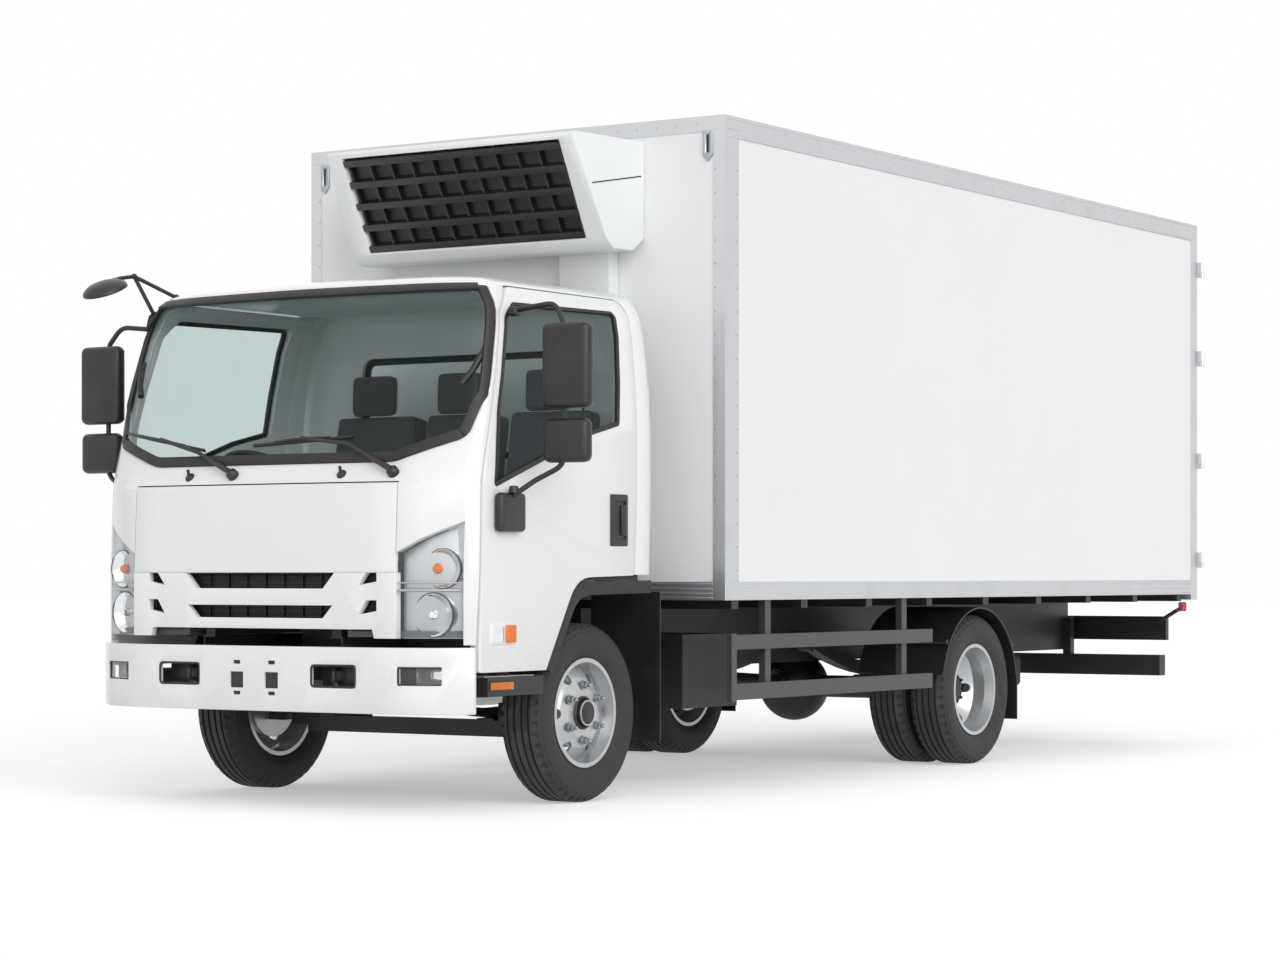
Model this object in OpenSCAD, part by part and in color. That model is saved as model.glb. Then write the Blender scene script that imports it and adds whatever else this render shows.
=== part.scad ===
// Refrigerated truck: cab-over light truck with an insulated box body.
// X points forward, Y to the left, Z up; the ground is z = 0.

/* [Chassis] */
// Distance between the front and rear axles
wheelbase = 3370; // [2800:10:4200]
// Front axle to the face of the bumper
front_overhang = 1090; // [1080:5:1200]
// Height of the top of the frame rails
rail_top = 720; // [700:5:740]
// Depth of the frame rails
rail_h = 190; // [150:5:200]
// Half the width over the frame rails
rail_y = 375; // [350:5:385]
// Width of a rail flange
rail_flange = 60; // [40:5:70]
// Sheet thickness of the rails
rail_t = 8; // [5:1:10]

/* [Wheels] */
// Radius of a tyre
tyre_r = 383.5; // [365:0.5:400]
// Width of a tyre
tyre_w = 215; // [190:5:225]
// Radius of the rim flange
rim_r = 235; // [220:5:240]
// Half the front track
front_track_y = 840; // [830:5:850]
// Middle plane of the rear twin tyres
rear_track_y = 870; // [860:5:880]
// Distance between the two tyres of a rear pair
twin_spacing = 240; // [235:5:250]
// Position of the steering kingpin across the truck
kingpin_y = 740; // [730:5:745]
// Radius of the wheel spindles
spindle_r = 35; // [30:1:40]
// Radius of the kingpins
kingpin_r = 18; // [15:1:22]

/* [Cab] */
// Half the width of the cab
cab_y = 1000; // [950:10:1040]
// Height of the cab roof
cab_top = 2236; // [2200:2:2260]
// Thickness of the cab walls and doors
cab_t = 35; // [30:1:40]
// Thickness of the window glass
glass_t = 5; // [4:1:8]
// Gap round the doors
door_gap = 8; // [7:1:10]
// Forward position of the cab's tilt pivot
tilt_x = 935; // [930:5:940]
// Height of the cab's tilt pivot
tilt_z = 775; // [770:1:780]
// Radius of the tilt pivot pins
tilt_pin_r = 15; // [12:1:18]
// Radius of the steering wheel
steering_r = 215; // [190:5:230]

/* [Box body] */
// Length of the box
box_len = 5300; // [4600:50:6200]
// Width of the box
box_w = 2350; // [2200:10:2500]
// Underside of the box
box_bottom = 861; // [855:1:900]
// Top of the box
box_top = 3020; // [2900:10:3200]
// Gap from the back of the cab to the box
cab_gap = 270; // [240:5:400]
// Thickness of the side walls
wall_t = 60; // [50:5:80]
// Thickness of the front wall
front_t = 70; // [60:5:90]
// Thickness of the roof
roof_t = 75; // [60:5:90]
// Thickness of the floor
floor_t = 110; // [90:5:130]
// Thickness of the aluminium edge sections
trim_t = 3; // [2:0.5:4]
// Thickness of the rear doors
rear_door_t = 80; // [70:5:90]
// Height of the rear door sill
sill_h = 90; // [80:5:110]
// Height of the rear header
header_h = 96; // [85:1:120]
// Offset of the rear hinge pins behind and beside the box
hinge_off = 22; // [18:1:26]
// Radius of the rear hinge pins
hinge_pin_r = 7; // [6:0.5:8]

/* [Cooling unit] */
// Half the width of the unit at the wall
unit_y = 750; // [650:10:850]
// Underside of the unit
unit_bottom = 2430; // [2410:5:2460]
// Top of the unit
unit_top = 2930; // [2880:5:2940]
// Depth of the unit at its top
unit_d_top = 490; // [440:5:500]
// Depth of the unit at its bottom
unit_d_bottom = 260; // [240:5:300]

/* [Fits] */
// Radial clearance of a pin in its bore
run_fit = 0.05; // [0.02:0.01:0.1]
// Gap between a piece and its seat
seat_gap = 0.3; // [0.1:0.1:0.5]

/* [Hidden] */
$fn = 48;

cab_back = -470;                                  // rearmost plane of the cab
box_x = cab_back - cab_gap;                       // front face of the box
box_rear = box_x - box_len;                       // rear face of the box
hinge_r = hinge_pin_r + 5;                        // outside of a rear hinge knuckle
tail_x = box_rear - hinge_off - hinge_r;          // rearmost point of the truck
axle_x = -(front_overhang + tail_x) / 2;          // the front axle, measured from the middle
rear_x = -wheelbase;
wheel_z = tyre_r;
box_y = box_w / 2;
skin_y = box_y - trim_t;
rail_bottom = rail_top - rail_h;

// ---------- helpers ----------

function unit(v) = v / norm(v);

// Points of one corner b of an outline, rounded to radius r between its neighbours a and c.
function corner(a, b, c, r, n) = r <= 0 ? [b] :
    let (u = unit(a - b), v = unit(c - b), half = acos(u * v) / 2, m = b + unit(u + v) * r / sin(half),
         p = b + u * r / tan(half), q = b + v * r / tan(half),
         a0 = atan2(p[1] - m[1], p[0] - m[0]), turn = atan2(q[1] - m[1], q[0] - m[0]) - a0,
         d = turn > 180 ? turn - 360 : turn < -180 ? turn + 360 : turn)
    [for (i = [0:n]) m + r * [cos(a0 + d * i / n), sin(a0 + d * i / n)]];

// Outline from rows of [across, up, corner radius].
function rounded(rows, n = 5) = [for (i = [0:len(rows) - 1])
    let (k = len(rows), a = rows[(i + k - 1) % k], b = rows[i], c = rows[(i + 1) % k])
    each corner([a[0], a[1]], [b[0], b[1]], [c[0], c[1]], b[2], n)];

// Outline moved inward by d; the points run anticlockwise.
function inset(p, d) = [for (i = [0:len(p) - 1])
    let (k = len(p), u = unit(p[i] - p[(i + k - 1) % k]), v = unit(p[(i + 1) % k] - p[i]),
         n = [-u[1] - v[1], u[0] + v[0]])
    p[i] + n * d / (1 + u * v)];

module block(x, y, z) translate([x[0], y[0], z[0]]) cube([x[1] - x[0], y[1] - y[0], z[1] - z[0]]);
module prism_y(outline, y) translate([0, y[1], 0]) rotate([90, 0, 0]) linear_extrude(y[1] - y[0]) polygon(outline);
module prism_x(outline, x) translate([x[0], 0, 0]) rotate([90, 0, 90]) linear_extrude(x[1] - x[0]) polygon(outline);
module prism_z(outline, z) translate([0, 0, z[0]]) linear_extrude(z[1] - z[0]) polygon(outline);
module rod_x(x, y, z, r) translate([x[0], y, z]) rotate([0, 90, 0]) cylinder(h = x[1] - x[0], r = r);
module rod_y(x, y, z, r) translate([x, y[0], z]) rotate([-90, 0, 0]) cylinder(h = y[1] - y[0], r = r);
module rod_z(x, y, z, r) translate([x, y, z[0]]) cylinder(h = z[1] - z[0], r = r);
module both() { children(); mirror([0, 1, 0]) children(); }
module side(s) { if (s > 0) children(); else mirror([0, 1, 0]) children(); }
module rod_between(a, b, r) {
    d = b - a;
    translate(a) rotate([0, acos(d[2] / norm(d)), atan2(d[1], d[0])]) cylinder(h = norm(d), r = r, $fn = 16);
}
// A bent tube through the points, with a ball at each bend.
module bent_tube(points, r) {
    for (i = [0:len(points) - 2]) rod_between(points[i], points[i + 1], r);
    for (i = [1:len(points) - 2]) translate(points[i]) sphere(r = r + 0.6, $fn = 16);
}
// Everything is drawn from the front axle and moved to the middle of the truck.
module placed() translate([axle_x, 0, 0]) children();

// ---------- chassis ----------

tow_y = 120;
tow_h = 55;
tow_r = 7.5;
tow_z = rail_bottom + 59;
rail_front = 970;                                 // front end of the rails
spare_x = -4850;                                  // crossmember that carries the spare wheel
cross_x = [rail_front - 45, 500, -1110, -1700, rear_x + 670, rear_x - 580, spare_x, -5900];

module frame_rails() color("dimgray") placed() both() difference() {
    block([tail_x + 60, rail_front], [rail_y - rail_flange, rail_y], [rail_bottom, rail_top]);
    block([tail_x, 1100], [rail_y - rail_flange - 1, rail_y - rail_t], [rail_bottom + rail_t, rail_top - rail_t]);
}

module frame_crossmembers() color("dimgray") placed() {
    inner = rail_y - rail_t;
    for (x = cross_x) difference() {
        block([x - 40, x + 40], [-inner, inner], [rail_bottom + rail_t, rail_bottom + 110]);
        block([x - 32, x + 32], [-inner - 1, inner + 1], [rail_bottom, rail_bottom + 102]);
        // Four holes for a tow coupling in the rear face.
        if (x == cross_x[len(cross_x) - 1]) for (y = [-1, 1]) for (z = [-1, 1])
            rod_x([x - 50, x - 20], y * tow_y / 2, tow_z + z * tow_h / 2, tow_r);
    }
    // Cab pivot pins on pedestals, and the rear cab rest.
    both() {
        block([tilt_x - 30, tilt_x + 30], [rail_y - rail_flange, rail_y - 10], [rail_top, tilt_z + 25]);
        rod_y(tilt_x, [rail_y - rail_flange, rail_y + 60], tilt_z, tilt_pin_r);
        block([-420, -360], [rail_y - rail_flange, rail_y], [rail_top, floor_z - seat_gap]);
    }
    block([-420, -360], [-rail_y, rail_y], [floor_z - 40, floor_z - seat_gap]);
}

module engine() color("gray") placed() {
    block([-460, 440], [-270, 270], [430, 900]);
    block([-1040, -460], [-190, 190], [430, 720]);
    both() block([-30, 30], [270, rail_y - rail_flange], [560, 600]);
    both() block([-960, -900], [190, rail_y - rail_flange], [560, 600]);
}

module propeller_shaft() color("dimgray") placed() {
    rod_between([-1041, 0, 482], [-2140, 0, 465], 42);
    translate([-2140, 0, 465]) sphere(r = 58);
    rod_between([-2140, 0, 465], [pinion_x + 12, 0, wheel_z + 20], 42);
    // Coupling flange at the axle.
    rod_x([pinion_x + seat_gap, pinion_x + 22], 0, wheel_z + 20, 60);
}

module front_axle() color("dimgray") placed() difference() {
    union() {
        block([-45, 45], [-560, 560], [270, 340]);
        both() {
            block([-45, 45], [500, kingpin_y - 90], [300, wheel_z + 35]);
            block([-35, 35], [kingpin_y - 100, kingpin_y - 20], [wheel_z - 38, wheel_z + 34]);
            rod_z(0, kingpin_y, [wheel_z - 40, wheel_z + 40], 40);
            block([-60, 60], [spring_y - 45, spring_y + 45], [340, 350]);
        }
    }
    both() rod_z(0, kingpin_y, [wheel_z - 50, wheel_z + 50], kingpin_r + run_fit);
    both() block([-50, 50], [560, 800], [200, 300]);
}

spring_y = 440;
// Springs: middle, half length, lowest leaf, leaves
spring_rows = [[0, 560, 350, 4], [rear_x, 640, 450, 7]];
leaf_t = 11;
spring_rise = 90;

module leaf_springs() color("dimgray") placed() both() for (s = spring_rows) {
    top = s[2] + (s[3] - 1) * leaf_t;
    eye_z = top + spring_rise + 6;
    // The leaf pack as one body, thinner towards its eyes.
    prism_y([for (t = [-1:0.2:1]) [s[0] + t * s[1], top + spring_rise * t * t - leaf_t * (s[3] - 1) * (1 - abs(t))],
             for (t = [1:-0.2:-1]) [s[0] + t * s[1], top + leaf_t + spring_rise * t * t]],
            [spring_y - 35, spring_y + 35]);
    for (e = [-1, 1]) {
        rod_y(s[0] + e * s[1], [spring_y - 38, spring_y + 38], eye_z, 28);
        block([s[0] + e * s[1] - 22, s[0] + e * s[1] + 22], [rail_y, spring_y + 30], [eye_z, rail_top - 32]);
    }
}

diff_r = 185;
pinion_x = rear_x + diff_r + 5;                   // front face of the axle's pinion housing

module rear_axle() color("dimgray") placed() {
    rod_y(rear_x, [-600, 600], wheel_z, 58);
    translate([rear_x, 0, wheel_z]) sphere(r = diff_r);
    rod_x([rear_x, pinion_x], 0, wheel_z + 20, 70);
    both() {
        rod_y(rear_x, [590, rear_track_y + 20], wheel_z, spindle_r);
        block([rear_x - 60, rear_x + 60], [spring_y - 45, spring_y + 45], [wheel_z + 40, 450]);
    }
}

module fuel_tank() color("silver") placed() mirror([0, 1, 0]) {
    translate([-1950, 0, 0]) prism_y_rounded(750, [rail_y + 70, rail_y + 520], [340, 740], 60);
    for (x = [-1800, -1350]) block([x - 25, x + 25], [rail_y, rail_y + 70], [rail_bottom, rail_top - 20]);
}

// A box with rounded long edges, lying along X.
module prism_y_rounded(len, y, z, r)
    prism_x(rounded([[y[0], z[0], r], [y[1], z[0], r], [y[1], z[1], r], [y[0], z[1], r]]), [0, len]);

module battery_box() color("dimgray") placed() {
    block([-1500, -1020], [rail_y + 30, rail_y + 400], [360, 700]);
    for (x = [-1440, -1100]) block([x - 20, x + 20], [rail_y, rail_y + 30], [rail_bottom, rail_top - 20]);
}

bumper_z = [410, 680];
bumper_t = 22;
bumper_bow = 35;
bumper_corner = 150;
bumper_end = 886;

// Front edge of the bumper in plan, set back by t.
function bumper_line(t) = [for (y = [-1:0.125:1])
    [front_overhang - bumper_bow * y * y - bumper_corner * pow(y, 8) - t, y * (cab_y - 5 - t)]];

module front_bumper() color("white") placed() difference() {
    union() {
        prism_z(concat([[bumper_end, -cab_y + 5], each bumper_line(0), [bumper_end, cab_y - 5]]), bumper_z);
        both() block([rail_front, front_overhang - 40], [rail_y - rail_flange + 5, rail_y], [540, 640]);
    }
    difference() {
        prism_z(concat([[700, -cab_y + 5 + bumper_t], each bumper_line(bumper_t), [700, cab_y - 5 - bumper_t]]),
                [bumper_z[0] + 10, bumper_z[1] + 1]);
        both() block([rail_front, front_overhang - 20], [rail_y - rail_flange + 5, rail_y], [540, 640]);
    }
    both() {
        block([900, 1200], [300, 525], [515, 605]);
        block([900, 1200], [725, 895], [527, 602]);
    }
    prism_z([[700, -cab_y + 80], [1000, -800], [1030, 0], [1000, 800], [700, cab_y - 80]], [400, 440]);
}

module cab_steps() color("dimgray") placed() both() {
    block([415, 810], [800, cab_y - 5], [480, 556]);
    block([700, 750], [rail_y, 800], [rail_bottom + 5, 556]);
}

guard_x = [-2720, -800];
stanchion_x = [-1158, -2468];

module side_guards() color("dimgray") placed() both() {
    for (z = [[414, 487], [640, 706]]) block(guard_x, [box_y - 27, box_y - 2], z);
    block([guard_x[1] - 45, guard_x[1]], [box_y - 27, box_y - 2], [408, 712]);
    for (x = stanchion_x) block([x - 25, x + 25], [box_y - 60, box_y - 27], [414, box_bottom]);
}

guard_r = 425;

module mudguards() color("dimgray") placed() both() {
    // Rear: an arch over the twin tyres, two stays and a flap.
    prism_y([for (a = [12:8:172]) [rear_x, wheel_z] + guard_r * [cos(a), sin(a)],
             for (a = [172:-8:12]) [rear_x, wheel_z] + (guard_r - 8) * [cos(a), sin(a)]],
            [rear_track_y - 245, rear_track_y + 240]);
    block([rear_x - guard_r - 4, rear_x - guard_r + 4], [rear_track_y - 245, rear_track_y + 240], [215, wheel_z + 65]);
    for (a = [35, 150]) rod_y(rear_x + (guard_r + 12) * cos(a), [rail_y, rear_track_y + 235],
                              wheel_z + (guard_r + 12) * sin(a), 14);
    // Front: a hanging flap behind the wheel on a stay.
    block([-508, -500], [620, 985], [240, 900]);
    block([-540, -508], [rail_y, 960], [rail_top - 25, rail_top - 5]);
}

module rear_underrun_bar() color("black") placed() {
    block([box_rear + 60, box_rear + 140], [-1000, 1000], [385, 505]);
    both() block([box_rear + 80, box_rear + 130], [rail_y, rail_y + 50], [385, rail_top]);
}

module rear_lamp_bar() color("black") placed() {
    block([tail_x + 20, tail_x + 60], [-990, 990], [rail_bottom + 60, rail_bottom + 200]);
    both() block([tail_x + 12, tail_x + 20], [640, 970], [rail_bottom + 75, rail_bottom + 185]);
}

spare_z = 420;

module spare_wheel() color("dimgray") placed() translate([spare_x - 380, 0, spare_z]) {
    tyre();
    rim(20);
    rod_z(0, 0, [20, rail_bottom + 8 - spare_z], 20);
    block([-40, 420], [-25, 25], [rail_bottom - spare_z, rail_bottom + 8 - spare_z]);
    both() block([-25, 25], [20, rail_y - 10], [rail_bottom - 12 - spare_z, rail_bottom - spare_z]);
}

bearer_h = 40;
bearer_x = [for (i = [0:8]) box_x - 150 - i * (box_len - 320) / 8];

module body_subframe() color("dimgray") placed() {
    both() block([box_rear + 60, box_x - 40], [rail_y - rail_flange, rail_y], [rail_top, box_bottom - bearer_h]);
    for (x = bearer_x) block([x - 30, x + 30], [-box_y + 40, box_y - 40], [box_bottom - bearer_h, box_bottom]);
}

// ---------- box body ----------

floor_top = box_bottom + floor_t;

module box_floor() color("silver") placed()
    block([box_rear + rear_door_t + 10, box_x - front_t], [-skin_y + wall_t, skin_y - wall_t], [box_bottom, floor_top]);

module box_side_walls() color("white") placed() both()
    block([box_rear + rear_door_t + 10, box_x - trim_t], [skin_y - wall_t, skin_y], [box_bottom + trim_t, box_top - trim_t]);

module box_front_wall() color("white") placed()
    block([box_x - front_t, box_x - trim_t], [-skin_y + wall_t, skin_y - wall_t], [box_bottom + trim_t, box_top - trim_t]);

module box_roof() color("white") placed()
    block([box_rear + rear_door_t + 10, box_x - front_t], [-skin_y + wall_t, skin_y - wall_t],
          [box_top - roof_t, box_top - trim_t]);

// Angle section along the four long edges and the front edges of the box.
module box_edge_trims() color("lightgray") placed() {
    difference() {
        block([box_rear + rear_door_t + 10, box_x], [-box_y, box_y], [box_bottom, box_top]);
        block([box_rear, box_x - trim_t], [-skin_y, skin_y], [box_bottom + trim_t, box_top - trim_t]);
        // Openings in each face, leaving the flanges.
        both() block([box_rear, box_x - 120], [skin_y - 1, box_y + 1], [box_bottom + 83, box_top - header_h]);
        block([box_x - trim_t - 1, box_x + 1], [-box_y + 63, box_y - 63], [box_bottom + 83, box_top - 70]);
        block([box_rear, box_x - 70], [-box_y + 60, box_y - 60], [box_top - trim_t - 1, box_top + 1]);
        block([box_rear, box_x - 70], [-box_y + 60, box_y - 60], [box_bottom - 1, box_bottom + trim_t + 1]);
    }
}

frame_x = [box_rear, box_rear + rear_door_t + 10];

module box_rear_frame() color("silver") placed() {
    difference() {
        block(frame_x, [-box_y, box_y], [box_bottom - 32, box_top]);
        block([box_rear - 1, frame_x[1] - 10 + 11], [-skin_y + wall_t, skin_y - wall_t],
              [box_bottom + sill_h, box_top - header_h]);
    }
    both() for (z = hinge_z) {
        difference() {
            union() {
                block([box_rear - 5, box_rear], [skin_y - wall_t + 8, box_y], [z - hinge_half, z + hinge_half]);
                block([box_rear - hinge_off - 5, box_rear], [box_y - 8, box_y], [z - hinge_half, z - hinge_half / 3]);
                block([box_rear - hinge_off - 5, box_rear - hinge_off + 5], [box_y - 8, box_y + hinge_off],
                      [z - hinge_half, z - hinge_half / 3]);
                rod_z(box_rear - hinge_off, box_y + hinge_off, [z - hinge_half, z - hinge_half / 3], hinge_r);
                rod_z(box_rear - hinge_off, box_y + hinge_off, [z - hinge_half, z + hinge_half], hinge_pin_r);
            }
        }
    }
}

hinge_z = [box_bottom + 200, box_bottom + 780, box_bottom + 1380, box_top - 260];
hinge_half = 45;
leaf_z0 = -hinge_half / 3 + 1;

module rear_door(s) color("white") placed() side(s) {
    edge_y = skin_y - wall_t - 4;
    difference() {
        union() {
            block([box_rear, box_rear + rear_door_t], [2.5, edge_y], [box_bottom + sill_h + 4, box_top - header_h - 4]);
            for (z = hinge_z) {
                block([box_rear - 6, box_rear], [edge_y - 260, edge_y], [z + leaf_z0, z + hinge_half]);
                block([box_rear - hinge_off - 4, box_rear - 6 + 4], [edge_y - 12, edge_y], [z + leaf_z0, z + hinge_half]);
                block([box_rear - hinge_off - 4, box_rear - hinge_off + 4], [edge_y - 12, box_y + hinge_off],
                      [z + leaf_z0, z + hinge_half]);
                rod_z(box_rear - hinge_off, box_y + hinge_off, [z + leaf_z0, z + hinge_half], hinge_r);
            }
            // Two lock rods with their keepers and handles.
            for (y = [150, 620]) {
                rod_z(box_rear - 16, y, [box_bottom + sill_h + 20, box_top - header_h - 20], 11);
                for (z = [box_bottom + 260, box_bottom + 900, box_top - 420])
                    block([box_rear - 20, box_rear], [y - 26, y + 26], [z - 22, z + 22]);
                block([box_rear - 27, box_rear - 17], [y, y + 250], [box_bottom + 640, box_bottom + 668]);
            }
        }
        for (z = hinge_z) rod_z(box_rear - hinge_off, box_y + hinge_off, [z - hinge_half, z + hinge_half + 1],
                                hinge_pin_r + run_fit);
    }
}
module rear_door_left() rear_door(1);
module rear_door_right() rear_door(-1);

// ---------- cooling unit ----------

unit_x = box_x - trim_t;
unit_side = [[unit_x, unit_bottom + 60], [unit_x, unit_top], [box_x + unit_d_top - 20, unit_top],
             [box_x + unit_d_top, unit_top - 20], [box_x + unit_d_bottom, unit_bottom + 40],
             [box_x + unit_d_bottom - 50, unit_bottom], [unit_x + 80, unit_bottom]];
slope = atan2(unit_top - unit_bottom - 60, unit_d_top - unit_d_bottom);
grille_y = 605;

module slope_frame() translate([box_x + unit_d_bottom, 0, unit_bottom + 40]) rotate([0, -slope, 0]) children();

module cooling_unit() color("white") placed() {
    difference() {
        intersection() {
            prism_y([for (i = [len(unit_side) - 1:-1:0]) unit_side[i]], [-unit_y, unit_y]);
            prism_z([[unit_x, -unit_y], [box_x + 500, -unit_y + 60], [box_x + 500, unit_y - 60], [unit_x, unit_y]],
                    [unit_bottom - 10, unit_top + 10]);
        }
        slope_frame() block([10, 478], [-grille_y, grille_y], [-1, 60]);
    }
    // Duct down the wall behind the cab.
    block([unit_x, unit_x + 80], [330, 610], [unit_bottom - 300, unit_bottom + 30]);
}

module cooling_unit_grille() color("black") placed() slope_frame() {
    g = seat_gap;
    block([10 + g, 478 - g], [-grille_y + g, grille_y - g], [50, 60 - g]);
    for (x = [20, 126, 232, 338, 444]) block([x - 9, x + 22], [-grille_y + g, grille_y - g], [0, 51]);
    for (y = [-5:5]) block([12, 470], [y * 118 - 5, y * 118 + 5], [18, 51]);
}

// ---------- cab ----------

// Levels of the cab: height, front at the centre line, back, half width
cab_levels = [
    [550, 1062, -430, 0], [1000, 1062, -433, 0], [1345, 1046, -443, 0], [1425, 992, -447, -2],
    [1600, 948, -457, -10], [1800, 899, -466, -25], [2000, 850, -470, -50], [2100, 826, -470, -72],
    [2160, 808, -468, -100], [2190, 780, -460, -130], [2212, 730, -440, -180], [2228, 620, -380, -300],
    [2236, 450, -250, -520]
];
// Plan of the front: share of the half width, set back of the panels, set back of the windscreen
plan_rows = [[0.2, 1, 2], [0.4, 4, 8], [0.56, 9, 17], [0.70, 17, 28], [0.80, 46, 48], [0.88, 95, 74],
             [0.94, 140, 102], [0.98, 172, 132], [1, 198, 172]];
back_r = 60;

// One level as a plan outline, anticlockwise from above, set in by t.
function cab_section(r, t) =
    let (xf = r[1] - t, xb = r[2] + t, w = cab_y + r[3] - t, k = min(1, max(0, (r[0] - 1345) / 80)),
         half = [
             for (p = plan_rows) [xf - (p[1] + (p[2] - p[1]) * k) * (1 - t / 300), w * p[0]],
             for (a = [90:30:180]) [xb + back_r + back_r * cos(a), w - back_r + back_r * sin(a)]
         ])
    [for (i = [len(half) - 1:-1:0]) [half[i][0], -half[i][1]], for (p = half) p];

// A closed skin through sections that all have the same number of points.
module loft(sections, heights) {
    n = len(sections[0]);
    m = len(sections);
    polyhedron(
        points = [for (j = [0:m - 1]) for (p = sections[j]) [p[0], p[1], heights[j]]],
        faces = [
            [for (i = [0:n - 1]) i],
            for (j = [0:m - 2]) for (i = [0:n - 1]) let (a = j * n + i, b = j * n + (i + 1) % n)
                each [[a, a + n, b], [b, a + n, b + n]],
            [for (i = [n - 1:-1:0]) (m - 1) * n + i]
        ]);
}

// The cab's outer form, set in by t on every side.
module cab_form(t) loft([for (r = cab_levels) cab_section(r, t)],
                        [for (r = cab_levels) (r[0] > 2000 ? r[0] + cab_top - 2236 - t : r[0])]);
module cab_shell(t0 = 0, t1 = cab_t) difference() { cab_form(t0); cab_form(t1); }

door_rows = [[401, 578, 0], [872, 578, 12], [848, 1357, 300], [640, 2058, 200], [540, 2170, 60], [-330, 2172, 70],
             [-267, 972, 8], [170, 962, 170]];
door_outline = rounded([for (r = door_rows) r]);
window_rows = [[772, 1328, 15], [735, 1640, 300], [620, 2035, 60], [545, 2104, 50], [-238, 2118, 35],
               [-170, 1618, 22], [65, 1566, 40]];
window_outline = rounded(window_rows);
arch_rows = [[401, 560, 0], [872, 560, 0], [872, 200, 0], [-700, 200, 0], [-700, 975, 0], [-267, 972, 0], [170, 962, 170]];
roof_z = 2176;
a_pillar = [[896, 560], [1200, 560], [1200, 2176], [660, 2176], [668, 2058], [872, 1357]];
screen_rows = [[-930, 1530, 60], [-640, 1434, 200], [640, 1434, 200], [930, 1530, 60], [982, 1800, 400],
               [950, 2166, 85], [0, 2172, 0], [-950, 2166, 85], [-982, 1800, 400]];
screen_outline = rounded(screen_rows);
back_window = rounded([[-640, 1500, 60], [640, 1500, 60], [620, 1980, 60], [-620, 1980, 60]]);
lid_y = 700;
grille_top = 984;
lid_outline = [[-lid_y, grille_top + seat_gap], [lid_y, grille_top + seat_gap], [lid_y, 1350], [-lid_y, 1350]];
lamp_y = 950;
grille_outline = [[-740, 716], [-600, 716], [-590, 752], [590, 752], [600, 716], [740, 716], [740, grille_top], [-740, grille_top]];
// Headlamp of the left side: across, height
lamp_outline = [[lid_y + 5, 716], [lamp_y, 716], [lamp_y, 1192], [820, 1130], [lid_y + 5, 1066]];

module screen_zone(outline, front) intersection() {
    prism_x(outline, [560, 1100]);
    prism_y(front, [-1100, 1100]);
}

floor_z = 950;

lip_t = 14;

// Inner lip that a door closes on, within the outline given.
module door_lip(outline) difference() {
    intersection() { cab_shell(cab_t - 3, cab_t + lip_t); both() prism_y(outline, [780, 1100]); }
    difference() {
        both() prism_y(inset(door_outline, -door_gap), [760, 1100]);
        cab_form(cab_t + seat_gap);
    }
}

module cab_front_panel() color("white") placed() difference() {
    union() {
        difference() {
            intersection() {
                cab_shell();
                prism_y([[880, 690], [1200, 690], [1200, roof_z], [500, roof_z], [560, 2172],
                         [648 + door_gap, 2058], [856, 1357]], [-1100, 1100]);
            }
            both() prism_y(inset(door_outline, -door_gap), [830, 1100]);
        }
        door_lip([[850, 1000], [905, 1000], [905, 1300], [850, 1300]]);
    }
    screen_zone(screen_outline, inset(a_pillar, -2));
    prism_x(inset(lid_outline, -5), [900, 1100]);
    prism_x(grille_outline, [900, 1100]);
    both() prism_x(lamp_outline, [888, 1100]);
    block([860, 1100], [-lamp_y, lamp_y], [500, 716]);
    block([900, 1100], [-600, 600], [500, 760]);
}

module cab_back_panel() color("white") placed() difference() {
    union() {
        difference() {
            intersection() {
                cab_shell();
                prism_y([[-600, 975], [-100, 975], [-250, roof_z], [-600, roof_z]], [-1100, 1100]);
            }
            both() prism_y(inset(door_outline, -door_gap), [830, 1100]);
        }
        door_lip([[-320, 1000], [-245, 1000], [-262, 1300], [-300, 1900], [-345, 1900]]);
    }
    block([-380, 0], [-860, 860], [900, 2300]);
    prism_x(back_window, [-600, -300]);
}

module cab_roof() color("white") placed() difference() {
    intersection() { cab_shell(); block([-600, 1100], [-1100, 1100], [roof_z, 2300]); }
    screen_zone(screen_outline, a_pillar);
}

module cab_windows() color("lightblue") placed() {
    intersection() {
        cab_shell(8, 8 + glass_t);
        screen_zone(inset(screen_outline, seat_gap), a_pillar);
    }
    prism_x(inset(back_window, seat_gap), [-455, -455 + glass_t]);
}

module front_lid() color("white") placed() intersection() {
    cab_shell(0, 22);
    prism_x(lid_outline, [900, 1100]);
}

slot_rows = [[-400, 918, 400, 983, 60], [-390, 796, 390, 849, 50]];

module front_grille() color("white") placed() difference() {
    intersection() { cab_shell(0, 30); prism_x(inset(grille_outline, seat_gap), [900, 1100]); }
    for (s = slot_rows) prism_x([[s[0] + s[4], s[1]], [s[2] - s[4], s[1]], [s[2], s[3]], [s[0], s[3]]], [900, 1100]);
    both() for (z = [[932, 984], [812, 872]]) prism_x([[520, z[0]], [612, z[0] + 15], [612, z[1] - 1], [560, z[1] - 1]], [900, 1100]);
    both() block([900, 1100], [lid_y + 5 - seat_gap, 1000], [700, 1100]);
}

module headlamps() color("lightgray") placed() intersection() {
    cab_shell(2, cab_t);
    both() prism_x(inset(lamp_outline, seat_gap), [888 + seat_gap, 1100]);
}

// The riser behind the footwells, the half width, sides and top of the engine cover, and the footwells' floor.
riser_x = [395, 425];
cover_y = 450;
cover_t = 25;
cover_z = [1000, 1030];
pan_z = [720, 745];

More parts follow.
